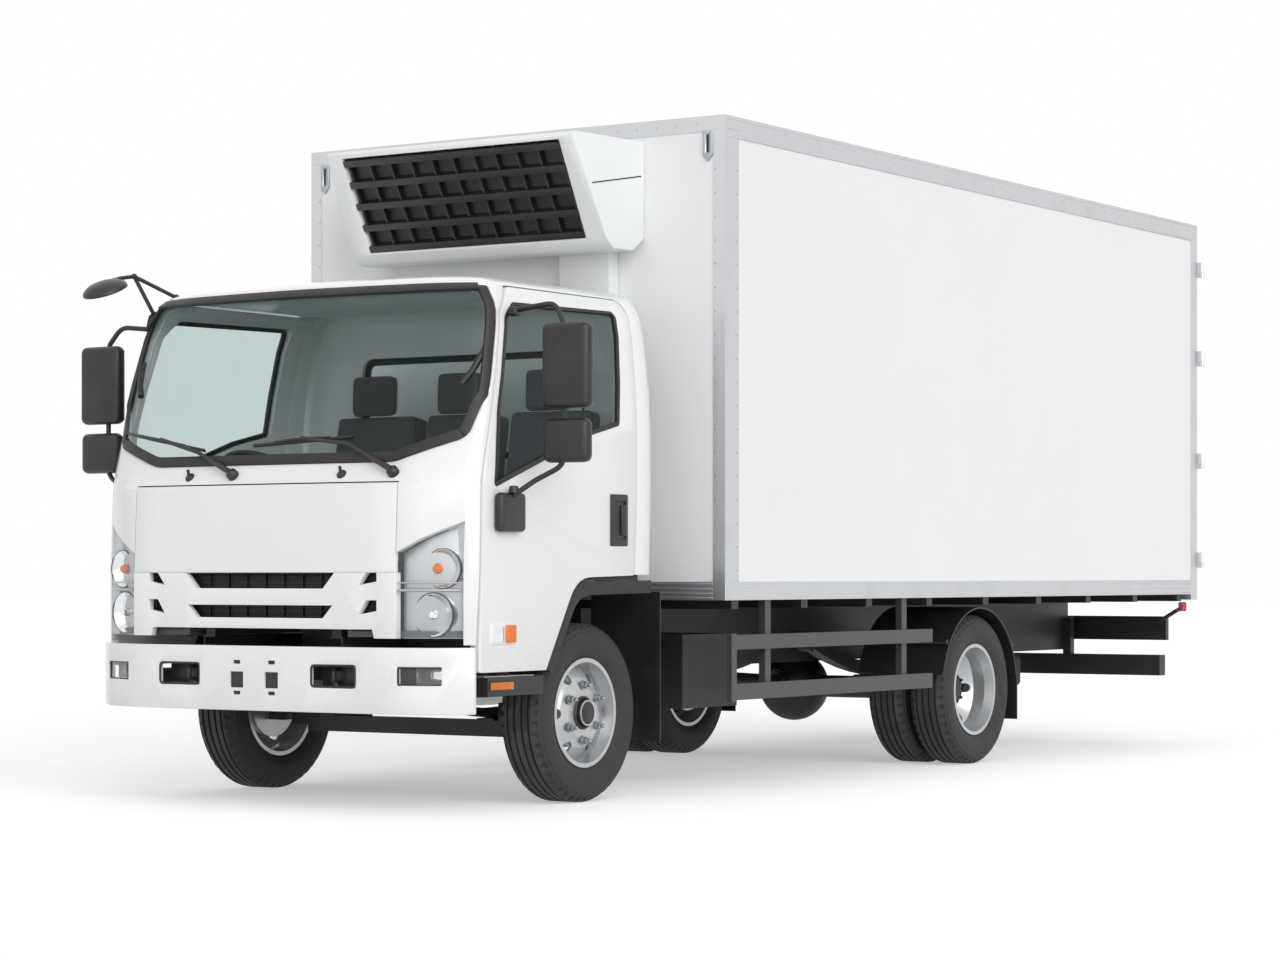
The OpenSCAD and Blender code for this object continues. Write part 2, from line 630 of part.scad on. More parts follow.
module cab_floor() color("dimgray") placed() intersection() {
    cab_form(cab_t + seat_gap);
    union() {
        block([-460, riser_x[1]], [-950, 950], [floor_z, floor_z + 30]);
        both() block(riser_x, [cover_y - cover_t, 950], [700, floor_z + 30]);
        block(riser_x, [-cover_y, cover_y], [floor_z, cover_z[1]]);
    }
}

// Carries the bearings that the cab tilts on.
module engine_cover() color("dimgray") placed() difference() {
    intersection() {
        cab_form(cab_t + seat_gap);
        union() {
            block([riser_x[1], 1000], [-cover_y, cover_y], cover_z);
            both() block([riser_x[1], 1000], [cover_y - cover_t, cover_y], [pan_z[0], cover_z[1]]);
            both() block([tilt_x - 30, tilt_x + 30], [rail_y + 10, rail_y + 55], [tilt_z, cover_z[0] + 10]);
            both() rod_y(tilt_x, [rail_y + 10, rail_y + 50], tilt_z, 30);
        }
    }
    both() rod_y(tilt_x, [rail_y, rail_y + 62], tilt_z, tilt_pin_r + run_fit);
}

module footwell_pans() color("dimgray") placed() intersection() {
    cab_form(cab_t + seat_gap);
    both() block([riser_x[1], 1000], [cover_y, 950], pan_z);
}

module wheel_arches() color("dimgray") placed() both() {
    arch = rounded([[401, 560, 0], [180, 962, 170], [-420, 972, 0]]);
    outline = concat(
        [[395, 585]], corner([395, 585], [176, 946], [-420, 950], 170, 8), [[-425, 950], [-425, 895]],
        [for (p = [[-260, 893]]) p], [for (i = [8:-1:0]) corner([340, 560], [140, 888], [-420, 893], 150, 8)[i]], [[338, 568]]);
    prism_y(outline, [920, 988]);
    block([-425, -410], [700, 925], [895, 949]);
}

module seat(y, w) {
    block([-380, 120], [y - w, y + w], [floor_z + 30, floor_z + 190]);
    prism_y([[-380, floor_z + 180], [-240, floor_z + 180], [-300, floor_z + 760], [-390, floor_z + 760]], [y - w + 20, y + w - 20]);
    block([-385, -310], [y - 120, y + 120], [floor_z + 755, floor_z + 940]);
}

module seats() color("darkslategray") placed() { seat(-480, 250); seat(500, 240); seat(10, 220); }

module dashboard() color("dimgray") placed() difference() {
    union() {
        difference() {
            intersection() {
                cab_form(cab_t + lip_t + seat_gap);
                prism_y([[700, 1100], [1000, 1100], [1000, 1400], [760, 1400], [660, 1330]], [-940, 940]);
            }
            block([860, 1100], [-730, 730], [1000, 1345]);
        }
        // Housing of the steering column.
        steering_frame() translate([0, 0, -300]) cylinder(h = 160, r = 45);
        block([520, 720], [wheel_c[1] - 35, wheel_c[1] + 35], [1110, 1200]);
    }
    steering_frame() translate([0, 0, -400]) cylinder(h = 400, r = column_r + run_fit);
}

column_tilt = 32;
column_r = 28;
wheel_c = [430, -480, 1400];

module steering_frame() translate(wheel_c) rotate([0, -column_tilt, 0]) children();

module steering_wheel() color("dimgray") placed() steering_frame() {
    rotate_extrude() translate([steering_r - 14, 0]) circle(r = 14);
    cylinder(h = 40, r = 70, center = true);
    for (a = [30, 150, 270]) rotate([0, 0, a]) block([60, steering_r - 14], [-18, 18], [-6, 6]);
    translate([0, 0, -310]) cylinder(h = 300, r = column_r);
}

// The stay's feet are balls that rest on the roof corner.
stay_feet = [[580, -(cab_y - 125.5), cab_top - 30], [665, -(cab_y - 71.6), cab_top - 111]];
stay_top = [760, -(cab_y - 40), cab_top + 54];

module under_view_mirror() color("black") placed() {
    for (f = stay_feet) {
        translate(f) sphere(r = foot_r, $fn = 24);
        rod_between(f, stay_top, 9);
    }
    translate(stay_top) sphere(r = 11, $fn = 24);
    rod_between(stay_top, stay_top + [170, 10, -35], 9);
    translate(stay_top + [195, 10, -80]) rotate([0, 25, 0]) cylinder(h = 45, r = 100);
}
foot_r = 16;

module door(s) color("white") placed() side(s) difference() {
    intersection() { cab_shell(); prism_y(door_outline, [840, 1100]); }
    prism_y(window_outline, [800, 1100]);
}
module door_left() door(1);
module door_right() door(-1);

module door_glass(s) color("lightblue") placed() side(s) intersection() {
    cab_shell(12, 12 + glass_t);
    prism_y(inset(window_outline, seat_gap), [800, 1100]);
}
module door_glass_left() door_glass(1);
module door_glass_right() door_glass(-1);

module wing_mirror(s) color("black") placed() side(s) {
    block([600, 780], [cab_y + seat_gap, cab_y + 45], [1150, 1310]);
    block([560, 600], [cab_y - 54.5, cab_y - 15], [2040, 2080]);
    bent_tube([[690, cab_y + 40, 1300], [650, 1120, 1360], [620, 1240, 1420], [620, 1240, 2000], [600, 1180, 2085], [585, 970, 2065]], 11);
    block([600, 660], [1150, 1380], [1650, 2000]);
    block([600, 660], [1155, 1375], [1430, 1610]);
}
module mirror_left() wing_mirror(1);
module mirror_right() wing_mirror(-1);

// ---------- wheels ----------

module knuckle(s) color("dimgray") placed() side(s) translate([0, 0, wheel_z]) {
    rod_z(0, kingpin_y, [-72, 72], kingpin_r);
    both_z() block([-35, 35], [kingpin_y - 38, kingpin_y + 38], [40 + seat_gap, 70]);
    block([-35, 35], [kingpin_y + 44, kingpin_y + 54], [-70, 70]);
    both_z() block([-35, 35], [kingpin_y + 30, kingpin_y + 50], [40 + seat_gap, 70]);
    rod_y(0, [kingpin_y + 44, front_track_y + 10], 0, spindle_r);
}
module both_z() { children(); mirror([0, 0, 1]) children(); }
module knuckle_left() knuckle(1);
module knuckle_right() knuckle(-1);

// Tyre about Z; half section: radius, height
module tyre() rotate_extrude($fn = 96) {
    w = tyre_w / 2;
    polygon([[rim_r - 13, -70], [rim_r + 8, -84], [rim_r + 60, -w], [tyre_r - 45, -w + 4], [tyre_r - 10, -w + 22],
             [tyre_r, -w + 38], [tyre_r, w - 38], [tyre_r - 10, w - 22], [tyre_r - 45, w - 4], [rim_r + 60, w],
             [rim_r + 8, 84], [rim_r - 13, 70]]);
}

// Steel rim about Z with its disc at height z and six hand holes.
module rim(z) difference() {
    rotate_extrude($fn = 96) {
        polygon([[rim_r - 13 - seat_gap, -70], [rim_r - 12, -82], [rim_r, -82], [rim_r, -88], [rim_r - 18, -88],
                 [rim_r - 32, -40], [rim_r - 32, 40], [rim_r - 18, 88], [rim_r, 88], [rim_r, 82], [rim_r - 12, 82],
                 [rim_r - 13 - seat_gap, 70], [rim_r - 22, 30], [rim_r - 22, -30]]);
        polygon([[spindle_r + 30, z], [110, z], [150, z * 0.75], [rim_r - 27, z * 0.2 - 5], [rim_r - 27, z * 0.2 + 5],
                 [150, z * 0.75 + 12], [110, z + 12], [spindle_r + 30, z + 12]]);
    }
    for (a = [0:60:300]) rotate([0, 0, a]) translate([168, 0, -200]) cylinder(h = 400, r = 24);
}

module wheel_at(x, y) translate([x, y, wheel_z]) rotate([-90, 0, 0]) children();

module front_rim(s) color("silver") placed() side(s) wheel_at(0, front_track_y) difference() {
    union() {
        rim(60);
        translate([0, 0, -44]) cylinder(h = 30, r = 150);
        translate([0, 0, -44]) cylinder(h = 118, r = 85);
        translate([0, 0, 60]) cylinder(h = 40, r = 55);
    }
    translate([0, 0, -60]) cylinder(h = 80, r = spindle_r + run_fit);
}
module front_rim_left() front_rim(1);
module front_rim_right() front_rim(-1);

module front_tyre(s) color("dimgray") placed() side(s) wheel_at(0, front_track_y) tyre();
module front_tyre_left() front_tyre(1);
module front_tyre_right() front_tyre(-1);

module rear_rims(s) color("silver") placed() side(s) wheel_at(rear_x, rear_track_y) difference() {
    union() {
        translate([0, 0, twin_spacing / 2]) rim(-twin_spacing / 2);
        translate([0, 0, -twin_spacing / 2]) mirror([0, 0, 1]) rim(-twin_spacing / 2);
        translate([0, 0, -200]) cylinder(h = 185, r = 150);
        translate([0, 0, -20]) cylinder(h = 60, r = 95);
        translate([0, 0, 30]) cylinder(h = 60, r = 70);
    }
    translate([0, 0, -260]) cylinder(h = 290, r = spindle_r + run_fit);
}
module rear_rims_left() rear_rims(1);
module rear_rims_right() rear_rims(-1);

module rear_tyres(s) color("dimgray") placed() side(s) for (e = [-1, 1])
    wheel_at(rear_x, rear_track_y + e * twin_spacing / 2) tyre();
module rear_tyres_left() rear_tyres(1);
module rear_tyres_right() rear_tyres(-1);

frame_rails();
frame_crossmembers();
engine();
propeller_shaft();
front_axle();
leaf_springs();
rear_axle();
fuel_tank();
battery_box();
front_bumper();
cab_steps();
side_guards();
mudguards();
rear_underrun_bar();
rear_lamp_bar();
spare_wheel();
body_subframe();
box_floor();
box_side_walls();
box_front_wall();
box_roof();
box_edge_trims();
box_rear_frame();
rear_door_left();
rear_door_right();
cooling_unit();
cooling_unit_grille();
cab_floor();
engine_cover();
footwell_pans();
cab_front_panel();
cab_back_panel();
cab_roof();
cab_windows();
front_grille();
headlamps();
wheel_arches();
seats();
dashboard();
under_view_mirror();
front_lid();
steering_wheel();
door_left();
door_right();
door_glass_left();
door_glass_right();
mirror_left();
mirror_right();
knuckle_left();
knuckle_right();
front_rim_left();
front_rim_right();
front_tyre_left();
front_tyre_right();
rear_rims_left();
rear_rims_right();
rear_tyres_left();
rear_tyres_right();
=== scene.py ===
"""Looks of a refrigerated truck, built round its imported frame.

Every length is in metres. X points forward, Y to the truck's left and Z up.
"""

from __future__ import annotations

import logging
import math
from dataclasses import dataclass, field
from enum import Enum
from typing import Callable, Iterable, Sequence

import bpy
from mathutils import Matrix, Vector
from mathutils.bvhtree import BVHTree


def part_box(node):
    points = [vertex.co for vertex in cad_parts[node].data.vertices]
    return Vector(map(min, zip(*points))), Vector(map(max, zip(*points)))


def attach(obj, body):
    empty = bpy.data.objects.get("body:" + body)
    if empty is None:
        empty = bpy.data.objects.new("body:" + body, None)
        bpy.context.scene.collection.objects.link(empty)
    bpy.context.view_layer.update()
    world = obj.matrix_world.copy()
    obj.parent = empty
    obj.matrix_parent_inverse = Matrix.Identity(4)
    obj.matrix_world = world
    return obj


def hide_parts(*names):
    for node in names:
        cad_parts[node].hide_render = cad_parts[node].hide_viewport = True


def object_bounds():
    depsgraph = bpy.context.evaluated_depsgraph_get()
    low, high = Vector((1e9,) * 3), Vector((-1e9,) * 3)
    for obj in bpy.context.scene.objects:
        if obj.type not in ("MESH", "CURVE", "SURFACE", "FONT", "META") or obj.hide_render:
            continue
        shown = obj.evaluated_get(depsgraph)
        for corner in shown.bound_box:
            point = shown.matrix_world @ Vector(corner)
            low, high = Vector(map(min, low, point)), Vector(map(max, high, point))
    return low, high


LOG = logging.getLogger("truck")
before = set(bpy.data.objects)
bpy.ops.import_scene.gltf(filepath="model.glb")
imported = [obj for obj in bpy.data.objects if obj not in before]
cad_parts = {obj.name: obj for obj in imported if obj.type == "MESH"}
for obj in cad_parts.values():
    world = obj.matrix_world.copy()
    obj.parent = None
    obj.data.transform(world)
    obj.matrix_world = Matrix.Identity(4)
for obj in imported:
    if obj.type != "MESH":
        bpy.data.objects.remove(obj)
FRAME_BOX = [list(corner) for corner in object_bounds()]
Point = tuple[float, float, float]
SIDES = (("left", 1), ("right", -1))


# ---------------------------------------------------------------- shader maths


class Signal:
    """A shader socket that can be used in a Python expression."""

    def __init__(self, graph: "Graph", socket: bpy.types.NodeSocket) -> None:
        """Wraps a socket.

        Args:
            graph: The material graph that the socket belongs to.
            socket: The output socket.
        """
        self.graph = graph
        self.socket = socket

    def _math(self, operation: str, *values: object) -> "Signal":
        """Adds one Math node.

        Args:
            operation: Blender's name of the operation.
            values: Signals or numbers for its inputs.

        Returns:
            The node's result.
        """
        node = self.graph.add("ShaderNodeMath", {"operation": operation}, {i: v for i, v in enumerate(values)})
        return Signal(self.graph, node.outputs[0])

    def __add__(self, other: object) -> "Signal":
        """Returns self + other."""
        return self._math("ADD", self, other)

    def __sub__(self, other: object) -> "Signal":
        """Returns self - other."""
        return self._math("SUBTRACT", self, other)

    def __rsub__(self, other: object) -> "Signal":
        """Returns other - self."""
        return self._math("SUBTRACT", other, self)

    def __mul__(self, other: object) -> "Signal":
        """Returns self * other."""
        return self._math("MULTIPLY", self, other)

    def __truediv__(self, other: object) -> "Signal":
        """Returns self / other."""
        return self._math("DIVIDE", self, other)

    def __rtruediv__(self, other: object) -> "Signal":
        """Returns other / self."""
        return self._math("DIVIDE", other, self)

    __radd__ = __add__
    __rmul__ = __mul__

    def power(self, exponent: float) -> "Signal":
        """Returns self to a power."""
        return self._math("POWER", self, exponent)

    def absolute(self) -> "Signal":
        """Returns the absolute value."""
        return self._math("ABSOLUTE", self)

    def wave(self, period: float) -> "Signal":
        """Returns a sine wave of self between -1 and 1."""
        return self._math("SINE", self * (2 * math.pi / period))

    def larger(self, other: object) -> "Signal":
        """Returns the larger of self and other."""
        return self._math("MAXIMUM", self, other)

    def above(self, level: float) -> "Signal":
        """Returns 1 where self is above a level, else 0."""
        return self._math("GREATER_THAN", self, level)

    def ramp(self, low: float, high: float) -> "Signal":
        """Returns 0 below low, 1 above high, and a smooth step between."""
        node = self.graph.add(
            "ShaderNodeMapRange",
            {"interpolation_type": "SMOOTHSTEP"},
            {"Value": self, "From Min": low, "From Max": high},
        )
        return Signal(self.graph, node.outputs["Result"])


class Graph:
    """The node tree of one material, with a Principled surface."""

    def __init__(self, name: str) -> None:
        """Makes an empty material.

        Args:
            name: The material's name.
        """
        self.material = bpy.data.materials.new(name)
        self.material.use_nodes = True
        self.tree = self.material.node_tree
        self.tree.nodes.clear()
        self.output = self.tree.nodes.new("ShaderNodeOutputMaterial")
        self.surface = self.tree.nodes.new("ShaderNodeBsdfPrincipled")
        self.tree.links.new(self.surface.outputs[0], self.output.inputs[0])
        self.place = Signal(self, self.add("ShaderNodeTexCoord").outputs["Object"])

    def add(self, kind: str, settings: dict | None = None, inputs: dict | None = None) -> bpy.types.Node:
        """Adds any node.

        Args:
            kind: The node's type.
            settings: Attributes set first; a ramp's stops are given as "stops".
            inputs: Values or signals by socket name or number.

        Returns:
            The node.
        """
        node = self.tree.nodes.new(kind)
        for key, value in (settings or {}).items():
            if key == "stops":
                self._stops(node.color_ramp, value)
            else:
                setattr(node, key, value)
        for key, value in (inputs or {}).items():
            if isinstance(value, Signal):
                self.tree.links.new(value.socket, node.inputs[key])
            else:
                node.inputs[key].default_value = value
        return node

    @staticmethod
    def _stops(ramp: bpy.types.ColorRamp, stops: Sequence[tuple[float, Sequence[float]]]) -> None:
        """Sets a ramp's stops, each a position and a colour."""
        while len(ramp.elements) < len(stops):
            ramp.elements.new(0.5)
        for element, (position, colour) in zip(ramp.elements, stops):
            element.position = position
            element.color = (*colour, 1.0)

    def axis(self, name: str) -> Signal:
        """Returns one object coordinate, "X", "Y" or "Z"."""
        node = self.add("ShaderNodeSeparateXYZ", None, {0: self.place})
        return Signal(self, node.outputs[name])

    def noise(self, scale: float, detail: float = 4.0, stretch: Point = (1, 1, 1)) -> Signal:
        """Returns noise between 0 and 1.

        Args:
            scale: Cells per metre.
            detail: Octaves.
            stretch: Scale along each axis.
        """
        where = self.add("ShaderNodeMapping", None, {"Vector": self.place, "Scale": stretch})
        node = self.add(
            "ShaderNodeTexNoise", None, {"Vector": Signal(self, where.outputs[0]), "Scale": scale, "Detail": detail}
        )
        return Signal(self, node.outputs[0])

    def cells(self, scale: float) -> Signal:
        """Returns the distance to the nearest of many scattered points."""
        node = self.add("ShaderNodeTexVoronoi", None, {"Vector": self.place, "Scale": scale})
        return Signal(self, node.outputs[0])

    def blend(self, mask: Signal, low: Sequence[float], high: Sequence[float]) -> Signal:
        """Returns a colour between low and high by a mask."""
        node = self.add("ShaderNodeMix", {"data_type": "RGBA"}, {0: mask, 6: (*low, 1.0), 7: (*high, 1.0)})
        return Signal(self, node.outputs[2])

    def layer(self, mask: Signal, low: Signal, high: Sequence[float]) -> Signal:
        """Returns a colour signal with another colour laid over it by a mask."""
        node = self.add("ShaderNodeMix", {"data_type": "RGBA"}, {0: mask, 6: low, 7: (*high, 1.0)})
        return Signal(self, node.outputs[2])

    def set(self, **values: object) -> None:
        """Sets sockets of the surface by name, with _ for a space."""
        for key, value in values.items():
            socket = self.surface.inputs[key.replace("_", " ")]
            if isinstance(value, Signal):
                self.tree.links.new(value.socket, socket)
            else:
                socket.default_value = value

    def bump(self, height: Signal, strength: float, distance: float) -> None:
        """Raises the surface by a height signal.

        Args:
            height: The height, from 0 to 1.
            strength: How strong the bump is.
            distance: The height of 1, in metres.
        """
        node = self.add("ShaderNodeBump", None, {"Height": height, "Strength": strength, "Distance": distance})
        self.tree.links.new(node.outputs[0], self.surface.inputs["Normal"])

    def gloss(self, index: float) -> Signal:
        """Returns the share that a pane's outer face mirrors, and nothing where light leaves the pane."""
        mirrored = Signal(self, self.add("ShaderNodeFresnel", None, {"IOR": index}).outputs[0])
        leaving = Signal(self, self.add("ShaderNodeNewGeometry").outputs["Backfacing"])
        return mirrored * (leaving * -1.0 + 1.0)

    def see_through(self, factor: Signal, tint: Sequence[float]) -> None:
        """Mixes the surface with clear glass; factor 1 shows the surface."""
        clear = self.add("ShaderNodeBsdfTransparent", None, {0: (*tint, 1.0)})
        mix = self.tree.nodes.new("ShaderNodeMixShader")
        self.tree.links.new(factor.socket, mix.inputs[0])
        self.tree.links.new(clear.outputs[0], mix.inputs[1])
        self.tree.links.new(self.surface.outputs[0], mix.inputs[2])
        self.tree.links.new(mix.outputs[0], self.output.inputs[0])


# ---------------------------------------------------------------- finishes


@dataclass(frozen=True)
class Paint:
    """Gloss paint with a faint orange peel and road film low down."""

    name: str
    colour: tuple[float, float, float]
    film: tuple[float, float, float] = (0.62, 0.61, 0.59)
    film_top: float = 0.9
    roughness: float = 0.22
    coat: float = 0.35

    def build(self) -> bpy.types.Material:
        """Returns the material."""
        g = Graph(self.name)
        height = g.axis("Z")
        cloud = g.noise(3.5)
        film = (1 - height.ramp(0.2, self.film_top)) * cloud.ramp(0.25, 0.8) * 0.4
        shade = tuple(c * 0.955 for c in self.colour)
        g.set(
            Base_Color=g.layer(film, g.blend(g.noise(1.3, 2.0), shade, self.colour), self.film),
            Roughness=self.roughness + film * 0.5 + g.noise(40.0) * 0.03,
            Coat_Weight=self.coat,
            Coat_Roughness=0.06,
        )
        g.bump(g.noise(220.0, 2.0), 0.06, 0.001)
        return g.material


@dataclass(frozen=True)
class Moulding:
    """Grained plastic or rubber with faded patches."""

    name: str
    colour: tuple[float, float, float]
    faded: tuple[float, float, float]
    roughness: float = 0.5
    grain: float = 900.0
    depth: float = 0.2
    fade: float = 0.5

    def build(self) -> bpy.types.Material:
        """Returns the material."""
        g = Graph(self.name)
        patches = g.noise(6.0).ramp(0.35, 0.75) * self.fade
        g.set(
            Base_Color=g.blend(patches, self.colour, self.faded),
            Roughness=self.roughness + g.noise(30.0) * 0.12 - 0.06,
        )
        g.bump(g.cells(self.grain), self.depth, 0.0006)
        return g.material


@dataclass(frozen=True)
class Metal:
    """Bare or silver-painted metal, brushed along one axis."""

    name: str
    colour: tuple[float, float, float]
    roughness: float = 0.35
    metallic: float = 1.0
    brush: Point = (0.02, 1.0, 1.0)
    streak: float = 0.12
    stain: float = 0.15

    def build(self) -> bpy.types.Material:
        """Returns the material."""
        g = Graph(self.name)
        lines = g.noise(260.0, 3.0, self.brush)
        stain = g.noise(5.0).ramp(0.5, 0.8) * self.stain
        dark = tuple(c * 0.62 for c in self.colour)
        g.set(
            Base_Color=g.blend(stain, self.colour, dark),
            Metallic=self.metallic,
            Roughness=self.roughness + (lines - 0.5) * self.streak + stain * 0.4,
        )
        g.bump(lines, 0.12, 0.0004)
        return g.material


@dataclass(frozen=True)
class Tread:
    """Tyre rubber with fine sidewall rings and a little dust."""

    name: str
    centre: Point
    radius: float

    def build(self) -> bpy.types.Material:
        """Returns the material."""
        g = Graph(self.name)
        x = g.axis("X") - self.centre[0]
        z = g.axis("Z") - self.centre[2]
        reach = (x * x + z * z).power(0.5)
        dust = reach.ramp(self.radius - 0.012, self.radius) * g.noise(14.0).ramp(0.3, 0.75) * 0.35
        rings = reach.wave(0.006) * (1 - reach.ramp(self.radius - 0.05, self.radius - 0.04))
        g.set(
            Base_Color=g.layer(dust, g.blend(g.noise(9.0), (0.016, 0.016, 0.017), (0.034, 0.034, 0.035)), (0.11, 0.105, 0.1)),
            Roughness=0.62 + g.noise(60.0) * 0.15,
        )
        g.bump(rings * 0.5 + g.noise(500.0, 2.0), 0.14, 0.0012)
        return g.material


@dataclass(frozen=True)
class Glazing:
    """Clear tinted glass, with a teal band over a height."""

    name: str
    tint: tuple[float, float, float]
    surface: tuple[float, float, float] = (0.02, 0.03, 0.03)
    body: float = 0.1
    band: float | None = None

    def build(self) -> bpy.types.Material:
        """Returns the material."""
        g = Graph(self.name)
        facing = g.gloss(1.5)
        film = g.noise(5.0, 3.0)
        colour = g.blend(film, self.surface, tuple(c * 1.3 for c in self.surface))
        factor = facing * 0.9 + self.body + film * 0.02
        if self.band is not None:
            teal = g.axis("Z").ramp(self.band - 0.07, self.band + 0.04)
            colour = g.layer(teal, colour, (0.03, 0.14, 0.13))
            factor = factor + teal * 0.22
        g.set(Base_Color=colour, Roughness=0.03 + film * 0.03)
        g.see_through(factor, self.tint)
        return g.material


@dataclass(frozen=True)
class Lens:
    """A coloured or clear lamp lens with fine optics."""

    name: str
    colour: tuple[float, float, float]
    body: float = 0.12
    pitch: float = 0.012
    depth: float = 0.4
    glow: float = 0.0

    def build(self) -> bpy.types.Material:
        """Returns the material."""
        g = Graph(self.name)
        ribs = g.axis("Y").wave(self.pitch) * 0.5 + g.axis("Z").wave(self.pitch) * 0.5
        facing = g.gloss(1.49)
        g.set(Base_Color=g.blend(g.noise(30.0), self.colour, tuple(min(1.0, c * 1.25) for c in self.colour)), Roughness=0.08)
        g.bump(ribs, self.depth, 0.0008)
        g.see_through(facing * 1.2 + self.body, tuple(0.4 + 0.6 * c for c in self.colour))
        return g.material


@dataclass(frozen=True)
class Weave:
    """Woven cloth."""

    name: str
    colour: tuple[float, float, float]
    thread: float = 0.004

    def build(self) -> bpy.types.Material:
        """Returns the material."""
        g = Graph(self.name)
        warp = g.axis("Y").wave(self.thread).absolute()
        weft = (g.axis("Z") + g.axis("X")).wave(self.thread).absolute()
        worn = g.noise(8.0)
        g.set(
            Base_Color=g.blend(warp * 0.5 + worn * 0.5, tuple(c * 0.6 for c in self.colour), self.colour),
            Roughness=0.85 + worn * 0.1,
            Sheen_Weight=0.3,
        )
        g.bump(warp.larger(weft), 0.5, 0.0012)
        return g.material


@dataclass(frozen=True)
class Fins:
    """A dark radiator core of fine vertical fins and flat rows, with painted shade in the near-black gaps between the
    fins.
    """

    name: str
    fin: float = 0.008
    row: float = 0.024

    def build(self) -> bpy.types.Material:
        """Returns the material."""
        g = Graph(self.name)
        rows = g.axis("Z").wave(self.row).ramp(0.2, 0.8)
        fins = g.axis("Y").wave(self.fin).ramp(-0.2, 0.6)
        # Painted shade: the near-black between the fins stands for the dark gaps; the fins and rows are the core's dark
        # metal.
        g.set(
            Base_Color=g.blend(fins * (1 - rows) + rows * 0.6, (0.003, 0.003, 0.003), (0.05, 0.05, 0.052)),
            Roughness=0.5 + fins * 0.2,
            Metallic=0.6,
        )
        g.bump(fins + rows, 0.5, 0.002)
        return g.material


class Finish(Enum):
    """The finishes of the truck, each built once."""

    CAB = Paint("cab white", (0.86, 0.865, 0.87))
    BODY = Paint("panel white", (0.855, 0.862, 0.87), roughness=0.28, coat=0.2, film_top=1.0)
    UNIT = Paint("unit white", (0.84, 0.85, 0.855), roughness=0.3, coat=0.1)
    CHASSIS = Paint("chassis black", (0.012, 0.012, 0.013), (0.05, 0.047, 0.043), 0.8, 0.42, 0.05)
    GUARD = Paint("guard grey", (0.045, 0.047, 0.05), (0.1, 0.1, 0.1), 0.7, 0.38, 0.1)
    BLACK = Moulding("black plastic", (0.012, 0.012, 0.013), (0.03, 0.03, 0.031), 0.42)
    GRILLE = Moulding("grille black", (0.01, 0.01, 0.011), (0.03, 0.031, 0.033), 0.36, 500.0, 0.1)
    RUBBER = Moulding("seal rubber", (0.008, 0.008, 0.008), (0.02, 0.02, 0.02), 0.5, 1200.0, 0.12)
    TRIM = Moulding("cab trim grey", (0.10, 0.105, 0.11), (0.14, 0.145, 0.15), 0.6, 700.0, 0.25)
    IRON = Metal("cast iron", (0.13, 0.13, 0.13), 0.6, 0.7, (1, 1, 1), 0.2, 0.4)
    EDGE = Metal("edge aluminium", (0.60, 0.61, 0.625), 0.36, 0.9)
    POST = Metal("post aluminium", (0.60, 0.61, 0.625), 0.36, 0.9, (1.0, 1.0, 0.02))
    # Painted shade: a darker copy of the edge aluminium for the parts that face the front.
    WALL_EDGE = Metal("front edge aluminium painted shade", (0.42, 0.43, 0.45), 0.34, 0.9, (1.0, 0.02, 1.0))
    CHROME = Metal("bright reflector", (0.85, 0.86, 0.87), 0.09, 1.0, (1, 1, 1), 0.03, 0.05)
    RIM = Metal("wheel silver", (0.52, 0.53, 0.54), 0.33, 0.75, (1, 1, 1), 0.1, 0.2)
    BOLT = Metal("zinc bolts", (0.4, 0.41, 0.42), 0.35, 1.0, (1, 1, 1), 0.1, 0.3)
    SCREEN = Glazing("windscreen", (0.93, 0.965, 0.96), body=0.03, band=2.12)
    SIDE_GLASS = Glazing("side glass", (0.90, 0.945, 0.94), body=0.04)
    CLEAR = Lens("clear lens", (0.96, 0.97, 0.975), 0.015, 0.02, 0.10)
    AMBER = Lens("amber lens", (0.95, 0.22, 0.02), 0.6)
    RED = Lens("red lens", (0.62, 0.01, 0.01), 0.7)
    CLOTH = Weave("seat cloth", (0.12, 0.125, 0.13))
    CORE = Fins("radiator core")

    @property
    def material(self) -> bpy.types.Material:
        """Returns the finish's material, made at first use."""
        found = bpy.data.materials.get(self.value.name)
        return found or self.value.build()


# ---------------------------------------------------------------- modelling


